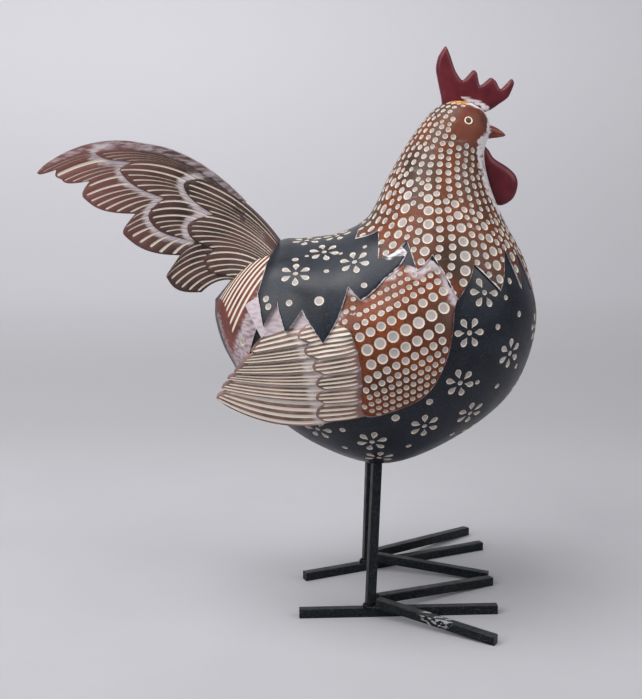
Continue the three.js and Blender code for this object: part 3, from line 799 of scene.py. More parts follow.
# Foot and top of each leg, seen from above
SOCKET_LEAN = {"right": [(0.2, -34), (4, -22)], "left": [(0.8, 32), (2.6, 22)]}
SOCKET_FOOT = 60
SOCKET_TOP = 94.3
SOCKET_TURN = 0.25
LEG_FOOT = 5.1
LEG_RISE = 88.9


def plain_mesh(source, name):
    # Mesh of an object as its modifiers leave it
    depsgraph = bpy.context.evaluated_depsgraph_get()
    mesh = bpy.data.meshes.new_from_object(source.evaluated_get(depsgraph), depsgraph=depsgraph)
    mesh.name = name
    return mesh


def carve(base, operation, home, name):
    # Joins or cuts a mesh object with every form in a collection
    joint = base.modifiers.new(operation, "BOOLEAN")
    joint.solver = "MANIFOLD"
    joint.operation = operation
    joint.operand_type = "COLLECTION"
    joint.collection = home
    mesh = plain_mesh(base, name)
    base.modifiers.remove(joint)
    return mesh


def drop_crumbs(mesh):
    # Keeps the one large skin, without the loose crumbs that cutting can leave beside it
    skin = bmesh.new()
    skin.from_mesh(mesh)
    waiting = set(skin.verts)
    largest = set()
    while waiting:
        shell = set()
        front = [waiting.pop()]
        while front:
            spot = front.pop()
            shell.add(spot)
            near = {edge.other_vert(spot) for edge in spot.link_edges} & waiting
            waiting -= near
            front.extend(near)
        largest = max(largest, shell, key=len)
    bmesh.ops.delete(skin, geom=[spot for spot in skin.verts if spot not in largest], context="VERTS")
    skin.to_mesh(mesh)
    skin.free()


bpy.context.scene.collection.objects.link(body)
joined = carve(body, "UNION", casting_forms, "joined")
casting = bpy.data.objects.new("rooster_casting", joined)
bpy.context.scene.collection.objects.link(casting)

socket_forms = bpy.data.collections.new("socket_forms")
bpy.context.scene.collection.children.link(socket_forms)
for side, (foot, hip) in SOCKET_LEAN.items():
    turn = SOCKET_TURN + np.pi / 4 + np.arange(4) * np.pi / 2
    square = np.stack([np.cos(turn), np.sin(turn)], -1) * SOCKET_SIDE / math.sqrt(2)
    rings = []
    for height in (SOCKET_FOOT, SOCKET_TOP):
        middle = mix(np.array(foot), np.array(hip), (height - LEG_FOOT) / LEG_RISE)
        rings.append(np.column_stack([square + middle, np.full(4, height)]))
    rings = np.array(rings)
    add_form(side + "_socket", tube(rings, rings[0].mean(0), rings[1].mean(0)), "navy", 0, 0, socket_forms)


# Dots and flowers
# The ornament is cut shallow into the skin: rows of dots on hackle and shoulders, and flowers on the navy.
# Each cut is filled with cream paint that has sunk to grey-lilac in its middle.
INLAY_DEPTH = 0.6
INLAY_ROUND = 12
# Top and foot of a cut's wall, in depths
INLAY_WALL = (1.0, -0.55)
# Heights in metres from which the skin about a place is felt, and the step in it that ends a zone
FEEL_HEIGHT = 0.004
FLOWER_FEEL_HEIGHT = 0.012
LEVEL_STEP = 0.0012
# Room about a dot inside its zone and between two dots, in metres for a millimetre of size
DOT_ROOM = 0.00056
DOT_GAP = 0.00057
PETAL_ROOM = 0.0016
# Angles of the hackle's points, and of two more columns at the back
LAPPETS = [160, 138, 118, 92, 67, 45, 22, 0]
BACK_COLUMNS = (167.5, 175)
# Rows of hackle dots above the lappets: first and last body section, and number of columns on a side
HACKLE_TIERS = [(9.9, 11.2, 16), (11.2, 12.5, 14), (12.5, 14.7, 12)]
HACKLE_TIER_SIZE = ([9.9, 14.7], [3.3, 2.3])
# Dot sizes at body sections, down the points and between them
LAPPET_SIZE = ([7.4, 8.3, 9.3, 10.3], [4.4, 5.8, 4.9, 3.6])
BETWEEN_SIZE = ([7, 9, 10.3], [3.8, 3.7, 3.2])
HACKLE_PITCH = 1.34
HACKLE_SHARES = (1, 0.82)
# Middle of the shoulder's row of large dots in side view, and the slope of its rows
SHOULDER_ROW = np.array([8.9, 153])
SHOULDER_SLOPE = math.radians(27.5)
SHOULDER_SMALL = 2.7
SHOULDER_SWELL = 3.3
SHOULDER_FADE = {1: 10, -1: 14}
SHOULDER_GAP = 0.95
SHOULDER_PITCH = 0.63
SHOULDER_REACH = 40
SHOULDER_ROW_DOTS = 19
# Middles of the flowers: body section, angle; the last five carry the pattern on out of sight
FLOWERS = [
    (3.06, 131.9), (4.2, 154.8), (5.52, 142.9), (7.92, 77.9), (7.14, 78.9), (7.38, 48),
    (6.48, 63.9), (6.36, 41), (5.7, 51.9), (4.86, 49.9), (3.96, 46), (4.92, 33),
    (7.95, 20), (7.1, 12), (6.2, 16), (3.3, 172), (5, 174),
]
FLOWER_REACH = 5.1
PETALS = 6
PETAL_LENGTH = 5.4
PETAL_WIDTH = 3.7
FLOWER_MIDDLE = 2.6
# Single dots among the flowers: body section, angle and size
SINGLE_DOTS = [
    (2.93, 144.5, 3.4), (4.26, 138.5, 2.8), (5.58, 128, 3.2), (2.31, 105, 3.4), (2.46, 102, 3.4),
    (3.05, 112.5, 3.4), (3.97, 120, 5), (7.98, 48.5, 3.2), (7.57, 64, 3), (6.89, 43, 3),
    (5.92, 64.5, 3.6), (5.33, 64, 4.2), (4.39, 54.5, 3.2), (5.39, 41, 3), (8.47, 56.5, 3.2),
    (3.4, 150, 2.2), (5, 152, 2.2), (6.2, 150, 2.4), (7.3, 36, 2.8), (6, 30, 3), (6.7, 57, 2.6),
    (4.4, 38, 3), (8.1, 62, 2.6),
]
RUMP_DOT = (2.15, 62.5, 4)

joined_polygons = [tuple(p.vertices) for p in joined.polygons]
joined_tree = BVHTree.FromPolygons([v.co for v in joined.vertices], joined_polygons)
dot_sites = []
petal_sites = []


def skin_hit(start, toward, zone):
    # Place and outward direction where a line from outside meets the skin in a zone
    start = Vector(to_frame(start))
    heading = (Vector(to_frame(toward)) - start).normalized()
    place, out, face, run = joined_tree.ray_cast(start, heading)
    if place is None or joined.polygons[face].material_index != ZONE[zone]:
        return None
    return place, out


def in_zone(place, out, zone, reach):
    # True where the skin round a place is still the same zone at about the same level
    side = out.orthogonal().normalized()
    for step in range(8):
        turned = Vector(side)
        turned.rotate(Quaternion(out, step * math.pi / 4))
        probe = place + turned * reach + out * FEEL_HEIGHT
        hit, normal, face, run = joined_tree.ray_cast(probe, -out)
        if hit is None or joined.polygons[face].material_index != ZONE[zone]:
            return False
        if abs(run - FEEL_HEIGHT) > LEVEL_STEP:
            return False
    return True


def fits_dot(found, zone, size):
    # True where a dot lies inside its zone and clear of the other dots
    if found is None or not in_zone(*found, zone, size * DOT_ROOM):
        return False
    return all((found[0] - other[0]).length > (size + other[3]) * DOT_GAP for other in dot_sites)


def add_dot(found, zone, size):
    if fits_dot(found, zone, size):
        place, out = found
        dot_sites.append((place, out, out.orthogonal(), size, size))


def body_hit(section, degrees, zone, above=12):
    # Place on the skin in a zone, over a place on the body
    return skin_hit(body_point(section, degrees, above), body_point(section, degrees, -4), zone)


def hackle_column(angle, low, high, sizes, hand):
    # Dots one above the other, each as large as its place allows
    section = low
    while section < high:
        spot = body_point(section, hand * angle, 0.6)
        ahead = body_point(section + 0.02, hand * angle, 0.6)
        found = None
        if face_share(spot[0], spot[2]) < 0.05 and face_wash(spot[None])[0] < 0.35:
            found = body_hit(section, hand * angle, "hackle", above=9)
        size = np.interp(section, *sizes)
        fits = [size * share for share in HACKLE_SHARES if fits_dot(found, "hackle", size * share)]
        if fits:
            add_dot(found, "hackle", fits[0])
        on = (fits[0] + size) / 2 * HACKLE_PITCH if fits else 0.25
        section += on * 0.02 / np.linalg.norm(ahead - spot)


def hackle_dots(hand):
    # Columns of dots down the points and between them, then three tiers of columns up the neck
    neighbours = list(zip(LAPPETS[:-1], LAPPETS[1:]))
    columns = [(angle, LAPPET_SIZE) for angle in LAPPETS[:-1] + LAPPETS[-1:] * (hand < 0)]
    columns += [(mix(a, b, share), BETWEEN_SIZE) for a, b in neighbours for share in (1 / 3, 2 / 3)]
    columns += [(angle, BETWEEN_SIZE) for angle in BACK_COLUMNS]
    edge_angles = [-angle for angle, section in HACKLE_EDGE]
    edge_sections = [section for angle, section in HACKLE_EDGE]
    for angle, sizes in columns:
        low = np.interp(-angle, edge_angles, edge_sections)
        hackle_column(angle, low, HACKLE_TIERS[0][0], sizes, hand)
    for low, high, count in HACKLE_TIERS:
        for column in range(count):
            hackle_column(180 * (column + 0.5) / count, low, high, HACKLE_TIER_SIZE, hand)


def shoulder_size(offset, way):
    # The dots are largest in the middle row and shrink above and below it
    return SHOULDER_SMALL + SHOULDER_SWELL * math.exp(-(offset / SHOULDER_FADE[way]) ** 2)


def shoulder_dots(hand):
    # Slanting rows from the middle one up, then from it down
    along = np.array([math.cos(SHOULDER_SLOPE), math.sin(SHOULDER_SLOPE)])
    rise = np.array([-along[1], along[0]])
    half_row = SHOULDER_ROW_DOTS // 2
    for way in (1, -1):
        offset = 0.0
        row = 0
        while abs(offset) < SHOULDER_REACH:
            size = shoulder_size(offset, way)
            if way > 0 or row > 0:
                step = size + SHOULDER_GAP
                for number in range(-half_row, half_row + 1):
                    x, z = SHOULDER_ROW + rise * offset + along * step * (number + 0.5 * (row % 2))
                    found = skin_hit((x, hand * 90, z), (x, 0, z), "shoulder")
                    add_dot(found, "shoulder", size)
            offset += way * SHOULDER_PITCH * (size + shoulder_size(abs(offset) + size, way))
            row += 1


def add_flower(found, spin):
    # Petals round a middle dot, without those that would cross the edge of the navy
    place, out = found
    lead = out.orthogonal().normalized()
    for petal in range(PETALS):
        way = Vector(lead)
        way.rotate(Quaternion(out, spin + petal * 2 * math.pi / PETALS))
        probe = place + way * FLOWER_REACH / 1000 + out * FLOWER_FEEL_HEIGHT
        hit, normal, face, run = joined_tree.ray_cast(probe, -out)
        if hit is None or joined.polygons[face].material_index != ZONE["navy"]:
            continue
        if in_zone(hit, normal, "navy", PETAL_ROOM):
            petal_sites.append((hit, normal, way - normal * way.dot(normal), PETAL_LENGTH, PETAL_WIDTH))
    dot_sites.append((place, out, lead, FLOWER_MIDDLE, FLOWER_MIDDLE))


spins = np.random.default_rng(SEED)
for hand in (-1, 1):
    hackle_dots(hand)
    shoulder_dots(hand)
    for section, angle in FLOWERS:
        found = body_hit(section, hand * angle, "navy")
        if found is not None:
            add_flower(found, spins.uniform(0, 1))
    for section, angle, size in SINGLE_DOTS:
        add_dot(body_hit(section, hand * angle, "navy"), "navy", size)
    section, angle, size = RUMP_DOT
    add_dot(body_hit(section, hand * angle, "rump"), "rump", size)


def inlay_cutter(name, pointed):
    # Shallow bowl with a wall above it, one across and one deep: round, or drawn to a point at one end
    turn = np.linspace(0, 2 * np.pi, INLAY_ROUND, endpoint=False)
    x = np.cos(turn) / 2
    y = np.sin(turn) / 2
    if pointed:
        y = y * ease(x, -0.62, 0.25)
    rings = np.array([np.stack([x, y, np.full(INLAY_ROUND, z)], -1) for z in INLAY_WALL])
    points, faces = tube(rings, (0, 0, 1.0), (0, 0, -1.0))
    radial = np.append(np.ones(2 * INLAY_ROUND), [1, 0])
    return add_form(name, (points * 1000 - BIRD_ORIGIN, faces), "inlay", radial, 0.5, inlay_parts)


def named_field(tree, name, kind):
    made = tree.nodes.new("GeometryNodeInputNamedAttribute")
    made.data_type = kind
    made.inputs["Name"].default_value = name
    return made.outputs["Attribute"]


def site_tree():
    # Sets one shape on every site, turned to the skin there and sized by the site's own values
    tree = bpy.data.node_groups.new("shapes_on_sites", "GeometryNodeTree")
    face = tree.interface
    face.new_socket("Geometry", in_out="INPUT", socket_type="NodeSocketGeometry")
    face.new_socket("Shape", in_out="INPUT", socket_type="NodeSocketObject")
    face.new_socket("Depth", in_out="INPUT", socket_type="NodeSocketFloat")
    face.new_socket("Paint", in_out="INPUT", socket_type="NodeSocketMaterial")
    face.new_socket("Geometry", in_out="OUTPUT", socket_type="NodeSocketGeometry")
    given = tree.nodes.new("NodeGroupInput")
    result = tree.nodes.new("NodeGroupOutput")
    cutter = tree.nodes.new("GeometryNodeObjectInfo")
    upright = tree.nodes.new("FunctionNodeAlignRotationToVector")
    upright.axis = "Z"
    led = tree.nodes.new("FunctionNodeAlignRotationToVector")
    led.axis = "X"
    led.pivot_axis = "Z"
    size = tree.nodes.new("ShaderNodeCombineXYZ")
    setter = tree.nodes.new("GeometryNodeInstanceOnPoints")
    real = tree.nodes.new("GeometryNodeRealizeInstances")
    paint = tree.nodes.new("GeometryNodeSetMaterial")
    link = tree.links.new
    link(given.outputs["Shape"], cutter.inputs["Object"])
    link(named_field(tree, "out", "FLOAT_VECTOR"), upright.inputs["Vector"])
    link(upright.outputs["Rotation"], led.inputs["Rotation"])
    link(named_field(tree, "lead", "FLOAT_VECTOR"), led.inputs["Vector"])
    link(named_field(tree, "length", "FLOAT"), size.inputs["X"])
    link(named_field(tree, "width", "FLOAT"), size.inputs["Y"])
    link(given.outputs["Depth"], size.inputs["Z"])
    link(given.outputs["Geometry"], setter.inputs["Points"])
    link(cutter.outputs["Geometry"], setter.inputs["Instance"])
    link(led.outputs["Rotation"], setter.inputs["Rotation"])
    link(size.outputs["Vector"], setter.inputs["Scale"])
    link(setter.outputs["Instances"], real.inputs["Geometry"])
    link(real.outputs["Geometry"], paint.inputs["Geometry"])
    link(given.outputs["Paint"], paint.inputs["Material"])
    link(paint.outputs["Geometry"], result.inputs["Geometry"])
    return tree


def socket_id(tree, name):
    return next(s.identifier for s in tree.interface.items_tree if s.name == name and s.in_out == "INPUT")


inlay_parts = bpy.data.collections.new("inlay_parts")
inlay_forms = bpy.data.collections.new("inlay_forms")
bpy.context.scene.collection.children.link(inlay_parts)
bpy.context.scene.collection.children.link(inlay_forms)
site_nodes = site_tree()


def shapes_on_sites(name, sites, shape, depth, paint, fuse=0):
    # Plain mesh of a shape on every site: place, outward way, leading way, length and width
    mesh = bpy.data.meshes.new(name + "_sites")
    mesh.from_pydata([site[0] for site in sites], [], [])
    for field, column in (("out", 1), ("lead", 2)):
        values = np.array([tuple(site[column]) for site in sites], np.float32)
        mesh.attributes.new(field, "FLOAT_VECTOR", "POINT").data.foreach_set("vector", values.ravel())
    for field, column in (("length", 3), ("width", 4)):
        values = np.array([site[column] / 1000 for site in sites], np.float32)
        mesh.attributes.new(field, "FLOAT", "POINT").data.foreach_set("value", values)
    carrier = bpy.data.objects.new(name + "_sites", mesh)
    bpy.context.scene.collection.objects.link(carrier)
    setting = carrier.modifiers.new("shapes", "NODES")
    setting.node_group = site_nodes
    setting[socket_id(site_nodes, "Shape")] = shape
    setting[socket_id(site_nodes, "Depth")] = depth / 1000
    setting[socket_id(site_nodes, "Paint")] = paint
    if fuse:
        carrier.modifiers.new("fuse", "REMESH").voxel_size = fuse / 1000
    made = plain_mesh(carrier, name)
    carrier.modifiers.clear()
    bpy.data.objects.remove(carrier)
    return made


for name, sites, pointed in (("dots", dot_sites, False), ("petals", petal_sites, True)):
    shape = inlay_cutter(name + "_cutter", pointed)
    cutters = shapes_on_sites(name + "_cutters", sites, shape, INLAY_DEPTH, zone_materials[ZONE["inlay"]])
    cutters.materials.clear()
    for material in zone_materials:
        cutters.materials.append(material)
    cutters.polygons.foreach_set("material_index", np.full(len(cutters.polygons), ZONE["inlay"], np.int32))
    inlay_forms.objects.link(bpy.data.objects.new(name + "_cutters", cutters))

casting.data = carve(casting, "DIFFERENCE", inlay_forms, "inlaid")
casting.data = carve(casting, "DIFFERENCE", socket_forms, "rooster_casting")
drop_crumbs(casting.data)
casting.data.shade_smooth()
casting.data.set_sharp_from_angle(angle=math.radians(36))
for home in (casting_forms, socket_forms, inlay_parts, inlay_forms):
    for form in list(home.objects):
        bpy.data.objects.remove(form)
    bpy.data.collections.remove(home)
bpy.data.objects.remove(body)
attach(casting, "root")
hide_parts("rooster_figure")


# Paint of the casting
# Hand-brushed acrylic in several colours over resin, rubbed back so that pale filler shows in cuts and edges.
# A satin varnish covers it all; the paint is uneven, a little cloudy, and thin on the crests.


def colour(red, green, blue):
    def linear(value):
        value /= 255
        return value / 12.92 if value <= 0.04045 else ((value + 0.055) / 1.055) ** 2.4
    return (linear(red), linear(green), linear(blue), 1)


def feed(tree, socket, value):
    # Links a socket to another node's value, or sets a constant on it
    if isinstance(value, bpy.types.NodeSocket):
        tree.links.new(value, socket)
    else:
        socket.default_value = value


def add_node(tree, kind, settings=None, **values):
    made = tree.nodes.new(kind)
    for key, value in (settings or {}).items():
        setattr(made, key, value)
    for key, value in values.items():
        feed(tree, made.inputs[key.replace("_", " ")], value)
    return made


def grade(tree, value, low, high):
    # Soft step from 0 to 1 between two values
    kind = {"interpolation_type": "SMOOTHSTEP"}
    made = add_node(tree, "ShaderNodeMapRange", kind, Value=value, From_Min=low, From_Max=high)
    return made.outputs["Result"]


def over(tree, share, under, top):
    # Colour laid over another by a share
    made = tree.nodes.new("ShaderNodeMix")
    made.data_type = "RGBA"
    for number, value in ((0, share), (6, under), (7, top)):
        feed(tree, made.inputs[number], value)
    return made.outputs[2]


def worked(tree, operation, first, second):
    # Two values put together by a sum
    made = tree.nodes.new("ShaderNodeMath")
    made.operation = operation
    for number, value in enumerate((first, second)):
        feed(tree, made.inputs[number], value)
    return made.outputs[0]


def brushwork_group():
    # Cloudy and streaky unevenness of brushed paint, with the height of its grain
    tree = bpy.data.node_groups.new("brushwork", "ShaderNodeTree")
    tree.interface.new_socket("Scale", in_out="INPUT", socket_type="NodeSocketFloat").default_value = 1
    for name in ("Cloud", "Streak", "Speck", "Height"):
        tree.interface.new_socket(name, in_out="OUTPUT", socket_type="NodeSocketFloat")
    given = tree.nodes.new("NodeGroupInput")
    result = tree.nodes.new("NodeGroupOutput")
    place = tree.nodes.new("ShaderNodeTexCoord").outputs["Object"]
    sized = add_node(tree, "ShaderNodeVectorMath", {"operation": "SCALE"})
    tree.links.new(place, sized.inputs[0])
    tree.links.new(given.outputs["Scale"], sized.inputs["Scale"])
    spot = sized.outputs["Vector"]
    cloud = add_node(tree, "ShaderNodeTexNoise", Vector=spot, Scale=70.0, Detail=4.0, Roughness=0.6)
    drawn = add_node(tree, "ShaderNodeMapping", Vector=spot, Scale=(0.35, 1.0, 1.6), Rotation=(0.2, 0.5, 0.3))
    streak = add_node(tree, "ShaderNodeTexNoise", Vector=drawn.outputs[0], Scale=420.0, Detail=3.0)
    speck = add_node(tree, "ShaderNodeTexNoise", Vector=spot, Scale=1500.0, Detail=2.0)
    height = worked(tree, "ADD", streak.outputs["Fac"], speck.outputs["Fac"])
    for name, value in (
        ("Cloud", grade(tree, cloud.outputs["Fac"], 0.3, 0.7)),
        ("Streak", grade(tree, streak.outputs["Fac"], 0.3, 0.7)),
        ("Speck", grade(tree, speck.outputs["Fac"], 0.35, 0.65)),
        ("Height", height),
    ):
        tree.links.new(value, result.inputs[name])
    return tree


brushwork = brushwork_group()


class PaintZone:
    # One zone's material, with the values that its colour is mixed from

    def __init__(self, zone, scale=1.0):
        self.material = zone_materials[ZONE[zone]]
        self.material.use_nodes = True
        self.tree = self.material.node_tree
        self.shader = self.tree.nodes["Principled BSDF"]
        grain = self.tree.nodes.new("ShaderNodeGroup")
        grain.node_tree = brushwork
        grain.inputs["Scale"].default_value = scale
        self.cloud, self.streak, self.speck, self.height = grain.outputs
        paint_map = self.tree.nodes.new("ShaderNodeUVMap")
        paint_map.uv_map = "Paint"
        parts = add_node(self.tree, "ShaderNodeSeparateXYZ", Vector=paint_map.outputs["UV"])
        self.groove, self.wash, _ = parts.outputs

    def wash_sum(self, uneven):
        # Edge wash that comes and goes with the brush
        swing = worked(self.tree, "SUBTRACT", self.streak, 0.5)
        return worked(self.tree, "ADD", self.wash, worked(self.tree, "MULTIPLY", swing, uneven))

    def finish(self, base, rough_low, rough_high, bump=0.12):
        tree = self.tree
        tree.links.new(base, self.shader.inputs["Base Color"])
        rough = add_node(tree, "ShaderNodeMapRange", Value=self.cloud, To_Min=rough_low, To_Max=rough_high)
        tree.links.new(rough.outputs["Result"], self.shader.inputs["Roughness"])
        self.shader.inputs["Specular IOR Level"].default_value = 0.3
        relief = add_node(tree, "ShaderNodeBump", Height=self.height, Strength=bump, Distance=0.0002)
        tree.links.new(relief.outputs["Normal"], self.shader.inputs["Normal"])


OCHRE_PLACE = (44.6, -4, 262.8)
OCHRE_REACH = (5, 6, 1.8)


def near_spot(tree, place, reach):
    # Mask about a place on the bird, in its own millimetres
    spot = tree.nodes.new("ShaderNodeTexCoord").outputs["Object"]
    for operation, other in (
        ("SUBTRACT", tuple(to_frame(place))), ("DIVIDE", tuple(size / 1000 for size in reach)),
    ):
        made = add_node(tree, "ShaderNodeVectorMath", {"operation": operation})
        tree.links.new(spot, made.inputs[0])
        made.inputs[1].default_value = other
        spot = made.outputs["Vector"]
    length = add_node(tree, "ShaderNodeVectorMath", {"operation": "LENGTH"})
    tree.links.new(spot, length.inputs[0])
    return grade(tree, length.outputs["Value"], 1.15, 0.8)


CREAM = colour(206, 197, 182)
LILAC = colour(184, 173, 178)
WHITE_RUB = colour(206, 200, 203)

zone = PaintZone("navy")
base = over(zone.tree, zone.cloud, colour(10, 15, 23), colour(22, 29, 41))
base = over(zone.tree, grade(zone.tree, zone.speck, 0.93, 1.0), base, colour(42, 48, 57))
base = over(zone.tree, grade(zone.tree, zone.wash_sum(0.7), 0.35, 1.0), base, WHITE_RUB)
zone.finish(base, 0.32, 0.46, 0.08)

zone = PaintZone("hackle", 0.6)
base = over(zone.tree, zone.cloud, colour(54, 38, 28), colour(112, 52, 21))
base = over(zone.tree, grade(zone.tree, zone.speck, 0.85, 1.0), base, colour(60, 40, 32))
face_colour = over(zone.tree, zone.cloud, colour(72, 34, 22), colour(112, 54, 36))
base = over(zone.tree, grade(zone.tree, zone.groove, 0.3, 0.7), base, face_colour)
base = over(zone.tree, grade(zone.tree, zone.wash_sum(0.9), 0.35, 0.9), base, WHITE_RUB)
base = over(zone.tree, near_spot(zone.tree, OCHRE_PLACE, OCHRE_REACH), base, colour(186, 122, 52))
zone.finish(base, 0.4, 0.58)

zone = PaintZone("shoulder", 0.6)
base = over(zone.tree, zone.cloud, colour(64, 33, 18), colour(120, 54, 20))
base = over(zone.tree, grade(zone.tree, zone.speck, 0.85, 1.0), base, colour(62, 36, 26))
base = over(zone.tree, grade(zone.tree, zone.wash_sum(0.4), 0.15, 1.1), base, LILAC)
zone.finish(base, 0.4, 0.58)

for name, ridge_dark, ridge_light, low in (
    ("wing", colour(76, 56, 52), colour(140, 108, 102), 0.16),
    ("rump", colour(84, 42, 36), colour(122, 70, 62), 0.34),
    ("tail", colour(46, 32, 30), colour(82, 56, 52), 0.26),
):
    zone = PaintZone(name)
    base = over(zone.tree, zone.cloud, ridge_dark, ridge_light)
    if name == "tail":
        spot = zone.tree.nodes.new("ShaderNodeTexCoord").outputs["Object"]
        spot_x = add_node(zone.tree, "ShaderNodeSeparateXYZ", Vector=spot).outputs["X"]
        base = over(zone.tree, grade(zone.tree, spot_x, -0.05, -0.11), base, colour(112, 70, 66))
    base = over(zone.tree, grade(zone.tree, zone.wash_sum(0.45), 0.1, 1.0), base, LILAC)
    base = over(zone.tree, grade(zone.tree, zone.groove, low, low + 0.35), base, CREAM)
    zone.finish(base, 0.5, 0.68)

zone = PaintZone("red")
base = over(zone.tree, zone.cloud, colour(78, 18, 28), colour(100, 30, 40))
base = over(zone.tree, grade(zone.tree, zone.wash_sum(0.5), 0.45, 0.9), base, WHITE_RUB)
zone.finish(base, 0.34, 0.46)

zone = PaintZone("beak")
base = over(zone.tree, zone.cloud, colour(110, 50, 42), colour(146, 84, 70))
base = over(zone.tree, grade(zone.tree, zone.groove, 0.3, 0.9), base, colour(70, 34, 30))
base = over(zone.tree, grade(zone.tree, zone.wash_sum(0.5), 0.4, 0.8), base, WHITE_RUB)
zone.finish(base, 0.4, 0.5)

zone = PaintZone("eye_ring")
base = over(zone.tree, zone.cloud, colour(224, 208, 184), colour(238, 226, 206))
zone.finish(base, 0.4, 0.5)

zone = PaintZone("pupil")
base = over(zone.tree, zone.cloud, colour(44, 40, 34), colour(74, 66, 54))
zone.finish(base, 0.25, 0.35)

zone = PaintZone("inlay")
base = over(zone.tree, zone.cloud, colour(148, 139, 138), colour(172, 164, 164))
base = over(zone.tree, grade(zone.tree, zone.groove, 0.62, 0.8), base, CREAM)
zone.finish(base, 0.55, 0.7)


# Legs and toes
# Square steel bar about 4.8 mm thick: an upright for each leg, a long bar and two side toes for each foot.
# The bars are cut square, welded together, and brushed with satin black paint that is scuffed on its edges.
SCUFF_PLACE = (34, -54.6, 8)
SCUFF_REACH = (10, 8, 6)

black_paint = bpy.data.materials.new("black_bar_paint")
black_paint.use_nodes = True
bar_tree = black_paint.node_tree
bar_grain = bar_tree.nodes.new("ShaderNodeGroup")
bar_grain.node_tree = brushwork
bar_grain.inputs["Scale"].default_value = 1.6
bar_base = over(bar_tree, bar_grain.outputs["Cloud"], colour(4, 7, 10), colour(9, 13, 16))
chips = grade(bar_tree, bar_grain.outputs["Speck"], 0.97, 1.0)
bar_base = over(bar_tree, chips, bar_base, colour(70, 76, 80))
scuff = grade(bar_tree, bar_grain.outputs["Streak"], 0.62, 0.78)
scuff = worked(bar_tree, "MULTIPLY", scuff, near_spot(bar_tree, SCUFF_PLACE, SCUFF_REACH))
bar_base = over(bar_tree, scuff, bar_base, colour(150, 150, 152))
bar_shader = bar_tree.nodes["Principled BSDF"]
bar_shader.inputs["Specular IOR Level"].default_value = 0.2
bar_tree.links.new(bar_base, bar_shader.inputs["Base Color"])
bar_cloud = bar_grain.outputs["Cloud"]
bar_rough = add_node(bar_tree, "ShaderNodeMapRange", Value=bar_cloud, To_Min=0.3, To_Max=0.48)
bar_tree.links.new(bar_rough.outputs["Result"], bar_shader.inputs["Roughness"])
bar_height = bar_grain.outputs["Height"]
bar_relief = add_node(bar_tree, "ShaderNodeBump", Height=bar_height, Strength=0.1, Distance=0.0002)
bar_tree.links.new(bar_relief.outputs["Normal"], bar_shader.inputs["Normal"])
for side in ("right", "left"):
    for part in ("leg", "long_toe", "outer_toe", "inner_toe"):
        frame["nodes"][side + "_" + part].data.materials[0] = black_paint


# Weld beads
# Small uneven lumps of weld where each leg stands on its long bar, where side toes start, where two toe tips
# meet, and about the legs at the belly. They were brushed black with the bars.

# Foot of each leg, and the tips of its side toes that are seen, from above
FEET = [
    ((0.2, -34), [(60.7, -70.9), (68.6, 8.2)]),
    ((0.8, 32), [(68.2, 14.6)]),
]
HIPS = [(3.2, -24.4), (2.3, 24)]
TIPS_JOINED = [(67.2, 9.4), (67, 10.8), (67, 12.2), (67.2, 13.4)]
BEAD = 2.6
BEAD_HEIGHT = 2.2
BEAD_RING = 3.0
BEADS_ROUND = 9
BEAD_FUSE = 0.4
BEAD_STRAY = 0.3
FOOT_BEAD_LEVEL = 5.4
TOE_BEAD_LEVEL = 5.8
TIP_BEAD_LEVEL = 2.6
# Beads at the start of a side toe: along it and aside of it
TOE_BEADS = [(4.0, 2.2), (4.0, -2.2), (5.6, 2.3), (5.6, -2.3), (3.6, 0)]

bead_sites = []
bead_ways = np.random.default_rng(SEED)


def add_bead(x, y, z):
    # A bead near a place, a little off it and of uneven size
    spread = bead_ways.uniform(-BEAD_STRAY, BEAD_STRAY, 3)
    size = BEAD * bead_ways.uniform(0.85, 1.2)
    place = Vector(to_frame(np.array([x, y, z]) + spread))
    lead = (math.cos(x), math.sin(y), 0)
    bead_sites.append((place, (0, 0, 1), lead, size, size * bead_ways.uniform(0.8, 1)))


for (leg_x, leg_y), tips in FEET:
    for turn in np.linspace(0, 2 * np.pi, BEADS_ROUND, endpoint=False):
        add_bead(leg_x + BEAD_RING * math.cos(turn), leg_y + BEAD_RING * math.sin(turn), FOOT_BEAD_LEVEL)
    for tip_x, tip_y in tips:
        way = np.array([tip_x - leg_x, tip_y - leg_y])
        way /= np.linalg.norm(way)
        for along, aside in TOE_BEADS:
            x = leg_x + way[0] * along - way[1] * aside
            y = leg_y + way[1] * along + way[0] * aside
            add_bead(x, y, TOE_BEAD_LEVEL)
for leg_x, leg_y in HIPS:
    for turn in np.linspace(0, 2 * np.pi, BEADS_ROUND, endpoint=False):
        spot = Vector((leg_x + BEAD_RING * math.cos(turn), leg_y + BEAD_RING * math.sin(turn), 0))
        add_bead(spot.x, spot.y, body_tree.ray_cast(spot, Vector((0, 0, 1)))[0].z)
for x, y in TIPS_JOINED:
    add_bead(x, y, TIP_BEAD_LEVEL)

turn = np.linspace(0, 2 * np.pi, 8, endpoint=False)
bead_rings = np.array([
    np.stack([0.5 * size * np.cos(turn), 0.5 * size * np.sin(turn), np.full(8, height)], -1)
    for size, height in ((0.7, -0.36), (1, 0), (0.7, 0.36))
])
bead_home = bpy.data.collections.new("bead_shapes")
bpy.context.scene.collection.children.link(bead_home)
bead_skin = tube(bead_rings, (0, 0, -0.5), (0, 0, 0.5))
bead = add_form("bead", (bead_skin[0] * 1000 - BIRD_ORIGIN, bead_skin[1]), "navy", 0, 0, bead_home)
beads_mesh = shapes_on_sites("weld_beads", bead_sites, bead, BEAD_HEIGHT, black_paint, BEAD_FUSE)
bpy.data.objects.remove(bead)
bpy.data.collections.remove(bead_home)
beads_mesh.materials.clear()
beads_mesh.materials.append(black_paint)
beads_mesh.polygons.foreach_set("material_index", np.zeros(len(beads_mesh.polygons), np.int32))
beads_mesh.shade_smooth()
weld_beads = bpy.data.objects.new("weld_beads", beads_mesh)
